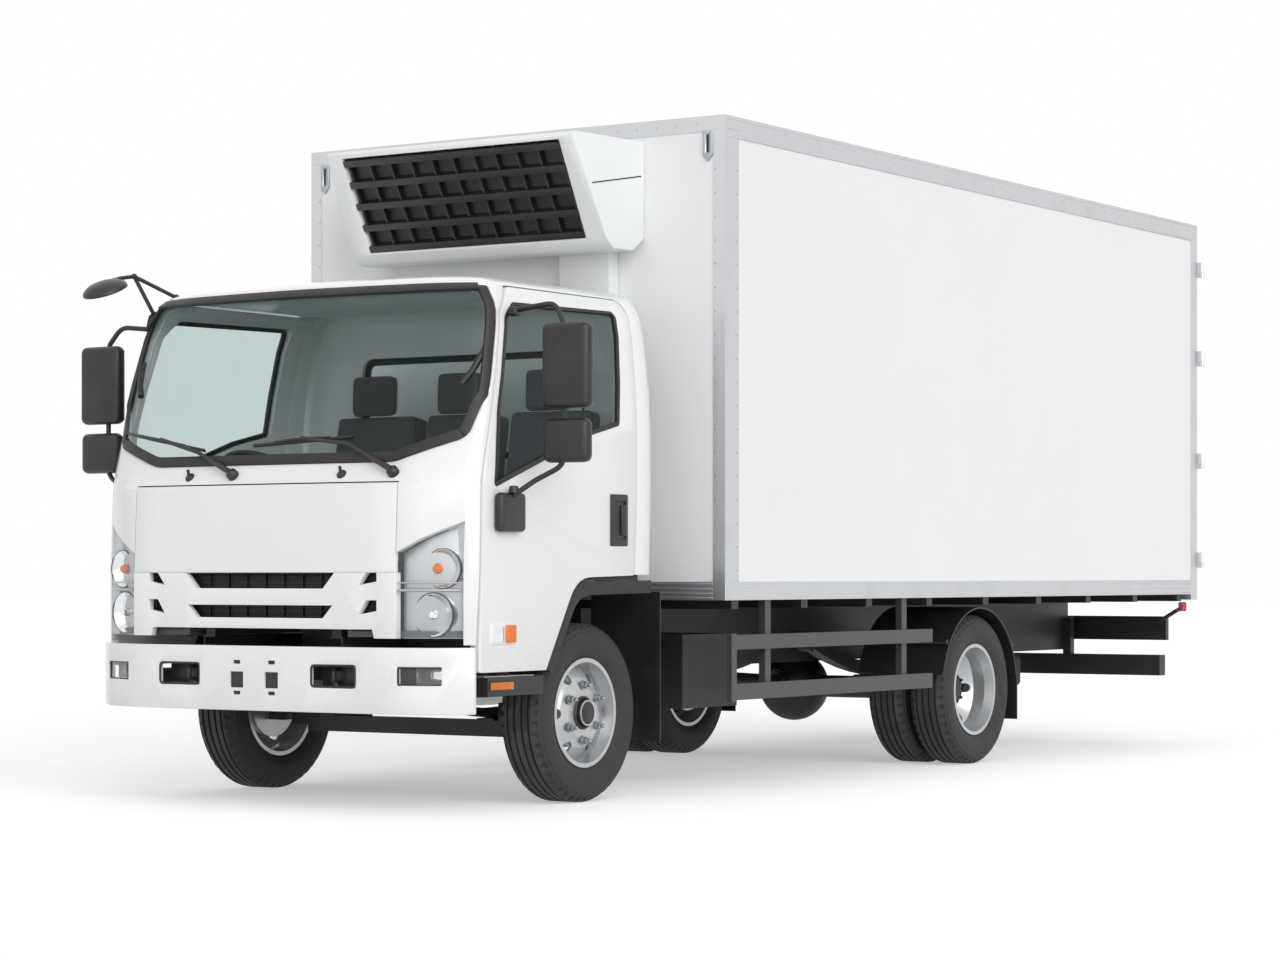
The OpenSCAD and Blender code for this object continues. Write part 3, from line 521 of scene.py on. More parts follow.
class Bench:
    """Makes meshes with Blender's own tools."""

    @staticmethod
    def clear() -> None:
        """Leaves object mode with nothing selected."""
        if bpy.context.object and bpy.context.object.mode != "OBJECT":
            bpy.ops.object.mode_set(mode="OBJECT")
        bpy.ops.object.select_all(action="DESELECT")

    @staticmethod
    def choose(piece: bpy.types.Object) -> None:
        """Selects one piece and makes it active."""
        Bench.clear()
        piece.select_set(True)
        bpy.context.view_layer.objects.active = piece

    @staticmethod
    def settle(name: str) -> bpy.types.Object:
        """Names the active object and moves its place into its mesh."""
        if bpy.context.object.mode != "OBJECT":
            bpy.ops.object.mode_set(mode="OBJECT")
        bpy.ops.object.transform_apply(location=True, rotation=True, scale=True)
        piece = bpy.context.object
        piece.name = piece.data.name = name
        return piece

    @staticmethod
    def modify(piece: bpy.types.Object, kind: str, **settings: object) -> bpy.types.Object:
        """Adds a modifier and applies it.

        Args:
            piece: The mesh object.
            kind: The modifier's type.
            settings: Its settings.

        Returns:
            The piece.
        """
        Bench.choose(piece)
        modifier = piece.modifiers.new(kind.lower(), kind)
        for key, value in settings.items():
            setattr(modifier, key, value)
        bpy.ops.object.modifier_apply(modifier=modifier.name)
        return piece

    @staticmethod
    def soften(piece: bpy.types.Object, radius: float, segments: int = 2, angle: float = 35) -> bpy.types.Object:
        """Rounds the sharp edges of a piece and shades it smooth.

        Args:
            piece: The mesh object.
            radius: Radius of the edges; 0 leaves them.
            segments: Steps across a rounded edge.
            angle: Sharpest angle, in degrees, that is shaded smooth.

        Returns:
            The piece.
        """
        if radius > 0:
            Bench.modify(
                piece, "BEVEL", width=radius, segments=segments, limit_method="ANGLE", angle_limit=math.radians(30),
                harden_normals=False,
            )
        Bench.choose(piece)
        bpy.ops.object.shade_smooth_by_angle(angle=math.radians(angle))
        return piece

    @staticmethod
    def outward(piece: bpy.types.Object) -> bpy.types.Object:
        """Merges doubled points and turns all faces outwards."""
        Bench.choose(piece)
        bpy.ops.object.mode_set(mode="EDIT")
        bpy.ops.mesh.select_all(action="SELECT")
        bpy.ops.mesh.remove_doubles(threshold=0.00005)
        bpy.ops.mesh.normals_make_consistent(inside=False)
        bpy.ops.object.mode_set(mode="OBJECT")
        return piece

    @staticmethod
    def slab(name: str, low: Point, high: Point, radius: float = 0.004, segments: int = 2) -> bpy.types.Object:
        """Makes a block with rounded edges between two corners."""
        Bench.clear()
        middle = [(a + b) / 2 for a, b in zip(low, high)]
        size = [abs(b - a) for a, b in zip(low, high)]
        bpy.ops.mesh.primitive_cube_add(size=1, location=middle)
        bpy.context.object.scale = size
        piece = Bench.settle(name)
        return Bench.soften(piece, min(radius, min(size) * 0.45), segments)

    @staticmethod
    def strand(name: str, points: Sequence[Point], close: bool = False) -> bpy.types.Object:
        """Draws a line of edges through points, one extrusion at a time.

        Args:
            name: The object's name.
            points: The points.
            close: Whether the last point joins the first.

        Returns:
            The line, left in edit mode with everything selected.
        """
        Bench.clear()
        route = [Vector(p) for p in points]
        bpy.ops.mesh.primitive_plane_add(size=0.001)
        line = bpy.context.object
        line.name = line.data.name = name
        bpy.ops.object.mode_set(mode="EDIT")
        bpy.ops.mesh.select_mode(type="VERT")
        bpy.ops.mesh.select_all(action="SELECT")
        bpy.ops.mesh.merge(type="CENTER")
        bpy.ops.transform.translate(value=route[0])
        for a, b in zip(route, route[1:]):
            bpy.ops.mesh.extrude_region_move(TRANSFORM_OT_translate={"value": b - a})
        bpy.ops.mesh.select_all(action="SELECT")
        if close:
            bpy.ops.object.mode_set(mode="OBJECT")
            for vertex in line.data.vertices:
                vertex.select = vertex.index in (0, len(route) - 1)
            bpy.ops.object.mode_set(mode="EDIT")
            bpy.ops.mesh.edge_face_add()
            bpy.ops.mesh.select_all(action="SELECT")
        return line

    @staticmethod
    def plate(name: str, outline: Sequence[Point], push: Point, radius: float = 0.003, segments: int = 2) -> bpy.types.Object:
        """Makes a plate from a flat outline, thickened along a vector."""
        Bench.strand(name, outline, True)
        bpy.ops.mesh.edge_face_add()
        bpy.ops.mesh.extrude_region_move(TRANSFORM_OT_translate={"value": Vector(push)})
        piece = Bench.settle(name)
        return Bench.soften(Bench.outward(piece), radius, segments)

    @staticmethod
    def turned(
        name: str, profile: Sequence[tuple[float, float]], centre: Point, axis: Point = (0, 1, 0), steps: int = 48,
        angle: float = 35,
    ) -> bpy.types.Object:
        """Spins a profile round an axis.

        Args:
            name: The object's name.
            profile: Rows of radius and place along the axis.
            centre: Where the axis place 0 lies.
            axis: Direction of the axis.
            steps: Steps round the axis.
            angle: Sharpest angle, in degrees, that is shaded smooth.

        Returns:
            The piece, closed where the profile meets the axis or itself.
        """
        along = Vector(axis).normalized()
        out = along.orthogonal().normalized()
        middle = Vector(centre)
        Bench.strand(name, [middle + out * r + along * a for r, a in profile])
        bpy.ops.mesh.spin(steps=steps, angle=2 * math.pi, center=middle, axis=along)
        piece = Bench.settle(name)
        return Bench.soften(Bench.outward(piece), 0, angle=angle)

    @staticmethod
    def tube(
        name: str, points: Sequence[Point], radius: float, bend: float = 0.0, sides: int = 3, close: bool = False
    ) -> bpy.types.Object:
        """Makes a round bar or hose along points.

        Args:
            name: The object's name.
            points: The corners of its route.
            radius: Its radius.
            bend: Radius of each corner; 0 draws one smooth curve.
            sides: Half the number of sides, less one.
            close: Whether its end joins its start.

        Returns:
            The bar as a mesh.
        """
        route = Bench.rounded(points, bend, close) if bend > 0 else [Vector(p) for p in points]
        Bench.clear()
        bpy.ops.curve.primitive_bezier_curve_add()
        bar = bpy.context.object
        curve = bar.data
        curve.dimensions = "3D"
        curve.splines.clear()
        spline = curve.splines.new("POLY" if bend > 0 or len(route) < 3 else "BEZIER")
        store = spline.points if spline.type == "POLY" else spline.bezier_points
        store.add(len(route) - 1)
        for knot, place in zip(store, route):
            if spline.type == "POLY":
                knot.co = (*place, 1.0)
            else:
                knot.co = place
                knot.handle_left_type = knot.handle_right_type = "AUTO"
        spline.use_cyclic_u = close
        curve.resolution_u = 8
        curve.bevel_depth = radius
        curve.bevel_resolution = sides
        curve.use_fill_caps = not close
        Bench.choose(bar)
        bpy.ops.object.convert(target="MESH")
        return Bench.soften(Bench.outward(Bench.settle(name)), 0, angle=50)

    @staticmethod
    def rounded(
        points: Sequence[Point], radius: float | Sequence[float], close: bool = False, steps: int = 6
    ) -> list[Vector]:
        """Rounds the corners of a route.

        Args:
            points: The corners.
            radius: Their radius, or one for each, limited by the shorter side.
            close: Whether the route is a loop.
            steps: Pieces of each rounded corner.

        Returns:
            The rounded route.
        """
        route = [Vector(p) for p in points]
        count = len(route)
        radii = list(radius) if isinstance(radius, Sequence) else [radius] * count
        result: list[Vector] = []
        for i, corner in enumerate(route):
            if (not close and i in (0, count - 1)) or radii[i] <= 0:
                result.append(corner)
                continue
            before, after = route[i - 1] - corner, route[(i + 1) % count] - corner
            reach = radii[i] / max(0.05, math.tan(before.angle(after) / 2))
            reach = min(reach, before.length * 0.48, after.length * 0.48)
            a, b = corner + before.normalized() * reach, corner + after.normalized() * reach
            for k in range(steps + 1):
                t = k / steps
                result.append(a * (1 - t) ** 2 + corner * 2 * t * (1 - t) + b * t**2)
        return result

    @staticmethod
    def copy(piece: bpy.types.Object, name: str, shift: Point = (0, 0, 0), mirror: bool = False) -> bpy.types.Object:
        """Copies a piece with its own mesh.

        Args:
            piece: The piece to copy.
            name: The copy's name.
            shift: How far the copy is moved.
            mirror: Whether it is mirrored across the truck.

        Returns:
            The copy.
        """
        twin = piece.copy()
        twin.data = piece.data.copy()
        twin.name = twin.data.name = name
        bpy.context.collection.objects.link(twin)
        if mirror:
            twin.data.transform(Matrix.Scale(-1, 4, (0, 1, 0)))
            twin.data.flip_normals()
        twin.data.transform(Matrix.Translation(shift))
        return twin

    @staticmethod
    def turn(piece: bpy.types.Object, angle: float, axis: Point, centre: Point) -> bpy.types.Object:
        """Turns a piece's mesh about an axis through a point, in degrees."""
        middle = Matrix.Translation(centre)
        piece.data.transform(middle @ Matrix.Rotation(math.radians(angle), 4, axis) @ middle.inverted())
        return piece

    @staticmethod
    def join(name: str, pieces: Iterable[bpy.types.Object]) -> bpy.types.Object:
        """Joins pieces into one object."""
        group = list(pieces)
        Bench.clear()
        for piece in group:
            piece.select_set(True)
        bpy.context.view_layer.objects.active = group[0]
        if len(group) > 1:
            bpy.ops.object.join()
        group[0].name = group[0].data.name = name
        return group[0]

    @staticmethod
    def cut(piece: bpy.types.Object, *cutters: bpy.types.Object) -> bpy.types.Object:
        """Cuts other pieces out of a piece and removes them."""
        for cutter in cutters:
            Bench.modify(piece, "BOOLEAN", operation="DIFFERENCE", object=cutter, solver="EXACT")
            bpy.data.objects.remove(cutter)
        return piece

    @staticmethod
    def border(
        name: str, node: str, out: Point, width: float, thickness: float, keep: Callable[[Vector], bool] | None = None
    ) -> bpy.types.Object:
        """Lays a band along the edge of a pane of glass.

        Args:
            name: The object's name.
            node: The frame node of the pane.
            out: The way that the pane faces.
            width: The band's width.
            thickness: How far it stands off the pane.
            keep: Test of a face's middle, where the node has other panes.

        Returns:
            The band.
        """
        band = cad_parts[node].copy()
        band.data = band.data.copy()
        band.parent = None
        band.matrix_world = Matrix.Identity(4)
        for key in list(band.keys()):
            del band[key]
        band.name = band.data.name = name
        bpy.context.collection.objects.link(band)
        band.hide_render = band.hide_viewport = False
        Bench.choose(band)
        bpy.ops.object.mode_set(mode="EDIT")
        bpy.ops.mesh.select_mode(type="FACE")
        bpy.ops.mesh.select_all(action="SELECT")
        bpy.ops.mesh.remove_doubles(threshold=0.0002)
        bpy.ops.object.mode_set(mode="OBJECT")
        facing = Vector(out)
        for face in band.data.polygons:
            face.select = face.normal.dot(facing) < 0.25 or (keep is not None and not keep(face.center))
        bpy.ops.object.mode_set(mode="EDIT")
        bpy.ops.mesh.delete(type="FACE")
        bpy.ops.mesh.select_all(action="SELECT")
        bpy.ops.mesh.inset(thickness=width, depth=0, use_boundary=True)
        bpy.ops.mesh.delete(type="FACE")
        bpy.ops.mesh.select_all(action="SELECT")
        bpy.ops.mesh.dissolve_limited(angle_limit=math.radians(0.5))
        bpy.ops.object.mode_set(mode="OBJECT")
        if band.data.has_custom_normals:
            bpy.ops.mesh.customdata_custom_splitnormals_clear()
        Bench.modify(band, "SOLIDIFY", thickness=thickness, offset=1.0)
        return Bench.soften(band, 0.003, 2, 50)


class Skin:
    """The outer surface of some frame nodes."""

    def __init__(self, nodes: Sequence[str]) -> None:
        """Gathers the nodes' meshes.

        Args:
            nodes: Names of the nodes.
        """
        points: list[Vector] = []
        faces: list[tuple[int, ...]] = []
        for node in nodes:
            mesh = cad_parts[node].data
            base = len(points)
            points += [v.co.copy() for v in mesh.vertices]
            faces += [tuple(base + i for i in p.vertices) for p in mesh.polygons]
        self.tree = BVHTree.FromPolygons(points, faces)

    def front(self, y: float, z: float) -> tuple[Vector, Vector]:
        """Returns the point and normal met from straight ahead."""
        point, normal, _, _ = self.tree.ray_cast(Vector((9, y, z)), Vector((-1, 0, 0)))
        return point, normal if normal.x > 0 else -normal

    def side(self, x: float, z: float, hand: int) -> tuple[Vector, Vector]:
        """Returns the point and normal met from the left (1) or right (-1)."""
        point, normal, _, _ = self.tree.ray_cast(Vector((x, 9 * hand, z)), Vector((0, -hand, 0)))
        return point, normal if normal.y * hand > 0 else -normal


class Assembly:
    """A group of pieces that are dressed and reported alike."""

    def dress(
        self, piece: bpy.types.Object, finish: Finish, body: str, slot: str, stands_for: Sequence[str] = (),
    ) -> bpy.types.Object:
        """Gives a piece its finish and its body.

        Args:
            piece: The piece.
            finish: Its finish.
            body: The body it rides on.
            slot: The record's material slot; not used.
            stands_for: Frame nodes that it replaces.

        Returns:
            The piece.
        """
        piece.data.materials.clear()
        piece.data.materials.append(finish.material)
        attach(piece, body)
        if stands_for:
            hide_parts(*stands_for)
        LOG.info("%s: %d faces on %s", piece.name, len(piece.data.polygons), body)
        return piece

    def coat(self, finish: Finish, *nodes: str) -> None:
        """Gives frame nodes a finish."""
        for node in nodes:
            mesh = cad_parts[node].data
            mesh.materials.clear()
            mesh.materials.append(finish.material)

    def reshape(
        self, node: str, finish: Finish, body: str, slot: str, radius: float = 0.003, angle: float = 35,
    ) -> bpy.types.Object:
        """Replaces a frame node by a copy with rounded edges."""
        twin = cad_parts[node].copy()
        twin.data = twin.data.copy()
        twin.parent = None
        twin.matrix_world = Matrix.Identity(4)
        twin.name = twin.data.name = f"{node}_skin"
        for key in list(twin.keys()):
            del twin[key]
        bpy.context.collection.objects.link(twin)
        Bench.choose(twin)
        bpy.ops.object.mode_set(mode="EDIT")
        bpy.ops.mesh.select_all(action="SELECT")
        bpy.ops.mesh.remove_doubles(threshold=0.0002)
        bpy.ops.mesh.dissolve_limited(angle_limit=math.radians(0.2))
        bpy.ops.object.mode_set(mode="OBJECT")
        if twin.data.has_custom_normals:
            bpy.ops.mesh.customdata_custom_splitnormals_clear()
        Bench.soften(twin, radius, 2, angle)
        return self.dress(twin, finish, body, slot, [node])


# ---------------------------------------------------------------- studio

AXLE = (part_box("front_tyre_left")[0].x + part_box("front_tyre_left")[1].x) / 2
REAR_AXLE = (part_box("rear_tyres_left")[0].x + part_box("rear_tyres_left")[1].x) / 2
HUB_Z = (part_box("front_tyre_left")[0].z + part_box("front_tyre_left")[1].z) / 2
TYRE_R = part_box("front_tyre_left")[1].z - HUB_Z


def at(x: float, y: float, z: float) -> Point:
    """Returns a place given from the front axle."""
    return (AXLE + x, y, z)


@dataclass
class Studio:
    """Camera, lamps, floor and world."""

    eye: Point = (13.606, 8.423, 0.975)
    heading: float = 123.0
    lens: float = 88.0
    rise: float = 0.074
    floor_size: float = 160.0

    def build(self) -> None:
        """Makes the camera, the lamps, the floor and the world."""
        Bench.clear()
        bpy.ops.object.camera_add(location=self.eye, rotation=(math.pi / 2, 0, math.radians(self.heading)))
        camera = bpy.context.object
        camera.data.lens, camera.data.shift_y, camera.data.clip_end = self.lens, self.rise, 400
        bpy.context.scene.camera = camera
        bpy.context.scene.view_settings.view_transform = "Standard"
        self._sun("key", (math.radians(66), 0, math.radians(150)), 1.65, 50)
        self._sun("front", (math.radians(62), 0, math.radians(95)), 0.45, 70)
        self._sun("back", (math.radians(50), 0, math.radians(-60)), 0.25, 60)
        self._floor()
        self._world()

    @staticmethod
    def _sun(name: str, turn: Point, strength: float, spread: float) -> None:
        """Adds one broad lamp."""
        bpy.ops.object.light_add(type="SUN", rotation=turn)
        lamp = bpy.context.object
        lamp.name = name
        lamp.data.energy, lamp.data.angle = strength, math.radians(spread)

    def _floor(self) -> None:
        """Makes the pale floor, which keeps the truck's shadow."""
        Bench.clear()
        bpy.ops.mesh.primitive_plane_add(size=self.floor_size)
        floor = Bench.settle("studio_floor")
        g = Graph("studio floor")
        g.set(Base_Color=g.blend(g.noise(2.0), (0.80, 0.80, 0.80), (0.81, 0.81, 0.81)), Roughness=1.0, Specular_IOR_Level=0.0)
        rays = g.add("ShaderNodeLightPath")
        seen = Signal(g, rays.outputs["Is Camera Ray"]).larger(Signal(g, rays.outputs["Is Glossy Ray"]))
        seen = seen.larger(Signal(g, rays.outputs["Is Transmission Ray"]))
        glow = g.add("ShaderNodeEmission", None, {"Color": (1, 1, 1, 1), "Strength": 0.40})
        add = g.tree.nodes.new("ShaderNodeAddShader")
        mix = g.tree.nodes.new("ShaderNodeMixShader")
        g.tree.links.new(g.surface.outputs[0], add.inputs[0])
        g.tree.links.new(glow.outputs[0], add.inputs[1])
        g.tree.links.new(seen.socket, mix.inputs[0])
        g.tree.links.new(g.surface.outputs[0], mix.inputs[1])
        g.tree.links.new(add.outputs[0], mix.inputs[2])
        g.tree.links.new(mix.outputs[0], g.output.inputs[0])
        floor.data.materials.append(g.material)

    @staticmethod
    def _world() -> None:
        """Makes a pale world that the camera and reflections see white."""
        world = bpy.data.worlds.new("studio world")
        bpy.context.scene.world = world
        world.use_nodes = True
        tree = world.node_tree
        tree.nodes.clear()
        rays = tree.nodes.new("ShaderNodeLightPath")
        light = tree.nodes.new("ShaderNodeBackground")
        light.inputs[0].default_value, light.inputs[1].default_value = (0.97, 0.985, 1.0, 1.0), 0.48
        seen = tree.nodes.new("ShaderNodeBackground")
        seen.inputs[0].default_value, seen.inputs[1].default_value = (1.0, 1.0, 1.0, 1.0), 1.0
        mix = tree.nodes.new("ShaderNodeMixShader")
        out = tree.nodes.new("ShaderNodeOutputWorld")
        either = tree.nodes.new("ShaderNodeMath")
        either.operation = "MAXIMUM"
        tree.links.new(rays.outputs["Is Camera Ray"], either.inputs[0])
        tree.links.new(rays.outputs["Is Transmission Ray"], either.inputs[1])
        shown = tree.nodes.new("ShaderNodeMath")
        shown.operation = "MAXIMUM"
        tree.links.new(either.outputs[0], shown.inputs[0])
        tree.links.new(rays.outputs["Is Glossy Ray"], shown.inputs[1])
        tree.links.new(shown.outputs[0], mix.inputs[0])
        tree.links.new(light.outputs[0], mix.inputs[1])
        tree.links.new(seen.outputs[0], mix.inputs[2])
        tree.links.new(mix.outputs[0], out.inputs[0])


# ---------------------------------------------------------------- cab


@dataclass
class Cab(Assembly):
    """Painted panels, glass, seals and the small fittings of the cab."""

    seal_width: float = 0.042
    seal_lift: float = 0.015
    window_seal: float = 0.020
    handle: tuple[float, float, float, float] = (-0.217, -0.080, 1.097, 1.322)
    lamp: tuple[float, float, float, float] = (0.634, 0.793, 0.696, 0.770)

    def build(self) -> None:
        """Builds and dresses the cab."""
        for node in ("cab_front_panel", "cab_back_panel", "cab_roof", "front_grille"):
            self.reshape(node, Finish.CAB, "cab", "white_paint")
        self.reshape("front_lid", Finish.CAB, "front_lid", "white_paint")
        self.coat(Finish.SCREEN, "cab_windows")
        self.coat(Finish.TRIM, "cab_floor", "engine_cover", "footwell_pans")
        self.reshape("wheel_arches", Finish.RUBBER, "cab", "black_plastic", 0.006)
        for hand, _ in SIDES:
            self.reshape(f"door_{hand}", Finish.CAB, f"door_{hand}", "white_paint")
            self.coat(Finish.SIDE_GLASS, f"door_glass_{hand}")
        self.skin = Skin(["cab_front_panel", "cab_roof", "cab_windows", "door_left", "door_right", "front_lid", "cab_back_panel"])
        self._seals()
        self._core()
        self._wipers()
        for hand, s in SIDES:
            self._door_fittings(hand, s)
            self._pillar_vent(hand, s)

    def _seals(self) -> None:
        """Lays the rubber seals round the windscreen and the door windows."""
        seal = Bench.border(
            "windscreen_seal", "cab_windows", (1, 0, 0), self.seal_width, self.seal_lift, lambda p: p.x > AXLE + 0.4
        )
        self.dress(seal, Finish.RUBBER, "cab", "black_plastic")
        seal = Bench.border("rear_window_seal", "cab_windows", (-1, 0, 0), 0.03, 0.012, lambda p: p.x < AXLE)
        self.dress(seal, Finish.RUBBER, "cab", "black_plastic")
        for hand, s in SIDES:
            seal = Bench.border(f"door_window_seal_{hand}", f"door_glass_{hand}", (0, s, 0), self.window_seal, 0.014)
            self.dress(seal, Finish.RUBBER, f"door_{hand}", "black_plastic")

    def _core(self) -> None:
        """Puts the dark radiator core with its ribs behind the grille slots; the near-black between its fins is painted
        shade.
        """
        low, high = at(0.995, -0.665, 0.764), at(1.008, 0.665, 0.985)
        panel = Bench.slab("grille_core", low, high, 0.002)
        ribs = [
            Bench.slab(f"rib_{i}", at(1.006, -0.60 + i * 0.1 - 0.004, 0.766), at(1.018, -0.60 + i * 0.1 + 0.004, 0.983), 0.002)
            for i in range(13)
        ]
        self.dress(Bench.join("grille_core", [panel, *ribs]), Finish.CORE, "cab", "black_plastic")

    def _on_screen(self, y: float, z: float, lift: float) -> Vector:
        """Returns a point that stands off the front of the cab."""
        point, normal = self.skin.front(y, z)
        return point + normal * lift

    def _wipers(self) -> None:
        """Makes the two wipers and the two washer nozzles."""
        rows = (
            ("right", (-0.173, 1.390), (-0.386, 1.486), (-0.62, 1.548), (-0.89, 1.590), (-0.37, 1.500)),
            ("left", (0.660, 1.388), (0.415, 1.505), (0.17, 1.535), (-0.098, 1.515), (0.42, 1.540)),
        )
        for hand, pivot, knee, hold, tip, heel in rows:
            base, normal = self.skin.front(*pivot)
            cap = Bench.turned(
                f"cap_{hand}", ((0.0, 0.034), (0.014, 0.032), (0.024, 0.022), (0.026, 0.0), (0.026, -0.004), (0.0, -0.004)),
                base, normal, 24,
            )
            route = [base + normal * 0.024, self._on_screen(*knee, 0.036), self._on_screen(*hold, 0.034)]
            arm = Bench.tube(f"arm_{hand}", route, 0.0085, 0.08)
            root = Bench.tube(f"root_{hand}", [route[0], route[0].lerp(route[1], 0.42)], 0.0125)
            steps = 9
            line = [
                self._on_screen(tip[0] + (heel[0] - tip[0]) * k / steps, tip[1] + (heel[1] - tip[1]) * k / steps, 0.014)
                for k in range(steps + 1)
            ]
            spine = Bench.tube(f"spine_{hand}", line, 0.0065, 0.05)
            rubber = Bench.tube(f"rubber_{hand}", [p - normal * 0.009 for p in line], 0.0035, 0.05)
            yoke = Bench.tube(f"yoke_{hand}", [line[2] + normal * 0.008, route[2] - normal * 0.004, line[7] + normal * 0.008], 0.005)
            wiper = Bench.join(f"wiper_{hand}", [cap, arm, root, spine, rubber, yoke])
            self.dress(wiper, Finish.BLACK, "cab", "black_plastic")
        for i, y in enumerate((-0.417, 0.402)):
            base, normal = self.skin.front(y, 1.387)
            nozzle = Bench.turned(
                f"nozzle_{i}", ((0.0, 0.016), (0.010, 0.013), (0.015, 0.006), (0.021, 0.004), (0.023, -0.002), (0.0, -0.002)),
                base, normal, 20,
            )
            spout = Bench.tube(f"spout_{i}", [base + normal * 0.008, base + normal * 0.016 + Vector((0, 0, 0.024))], 0.007)
            self.dress(Bench.join(f"washer_nozzle_{i}", [nozzle, spout]), Finish.BLACK, "cab", "black_plastic")

    def _door_fittings(self, hand: str, s: int) -> None:
        """Makes the handle and the side lamp of one door."""
        x0, x1, z0, z1 = self.handle
        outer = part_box(f"door_{hand}")[1].y if s > 0 else -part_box(f"door_{hand}")[0].y
        body = f"door_{hand}"
        plate = Bench.slab(f"handle_plate_{hand}", at(x0, s * (outer - 0.012), z0), at(x1, s * (outer + 0.006), z1), 0.03, 4)
        hollow = Bench.slab("hollow", at(x0 + 0.022, s * (outer - 0.008), z0 + 0.03), at(x1 - 0.022, s * (outer + 0.02), z1 - 0.03), 0.025, 3)
        Bench.soften(Bench.cut(plate, hollow), 0.002)
        grip = Bench.slab(f"grip_{hand}", at(x0 + 0.018, s * (outer - 0.004), z0 + 0.045), at(x0 + 0.058, s * (outer + 0.012), z1 - 0.045), 0.012, 3)
        pocket = Bench.slab(
            f"handle_pocket_{hand}", at(x0 + 0.012, s * (outer - 0.010), z0 + 0.018), at(x1 - 0.012, s * (outer + 0.0015), z1 - 0.018), 0.004
        )
        self.dress(Bench.join(f"door_handle_{hand}", [plate, grip, pocket]), Finish.BLACK, body, "black_plastic")
        x0, x1, z0, z1 = self.lamp
        middle = (x0 + x1) / 2 - 0.01
        base = Bench.slab(f"side_lamp_base_{hand}", at(x0 - 0.008, s * (outer - 0.01), z0 - 0.008), at(x1 + 0.008, s * (outer + 0.007), z1 + 0.008), 0.014, 3)
        self.dress(base, Finish.CAB, body, "white_paint")
        parts = ((x0, middle, Finish.AMBER, "amber"), (middle + 0.003, x1, Finish.CLEAR, "clear"))
        for a, b, finish, name in parts:
            lens = Bench.slab(f"side_lamp_{name}_{hand}", at(a, s * outer, z0), at(b, s * (outer + 0.018), z1), 0.009, 3)
            self.dress(lens, finish, body, "lamp_lens")
        bowl = Bench.slab(f"side_lamp_bowl_{hand}", at(middle + 0.008, s * (outer + 0.002), z0 + 0.006), at(x1 - 0.005, s * (outer + 0.009), z1 - 0.006), 0.004)
        self.dress(bowl, Finish.CHROME, body, "aluminium")

    def _pillar_vent(self, hand: str, s: int) -> None:
        """Makes the black slot on the pillar beside the windscreen."""
        points = []
        for k in range(7):
            t = k / 6
            point, normal = self.skin.side(AXLE + 0.822 - 0.088 * t, 1.755 + 0.155 * t, s)
            points.append(point - normal * 0.006)
        vent = Bench.tube(f"pillar_vent_{hand}", points, 0.014, 0.02, 4)
        self.dress(vent, Finish.BLACK, "cab", "black_plastic")


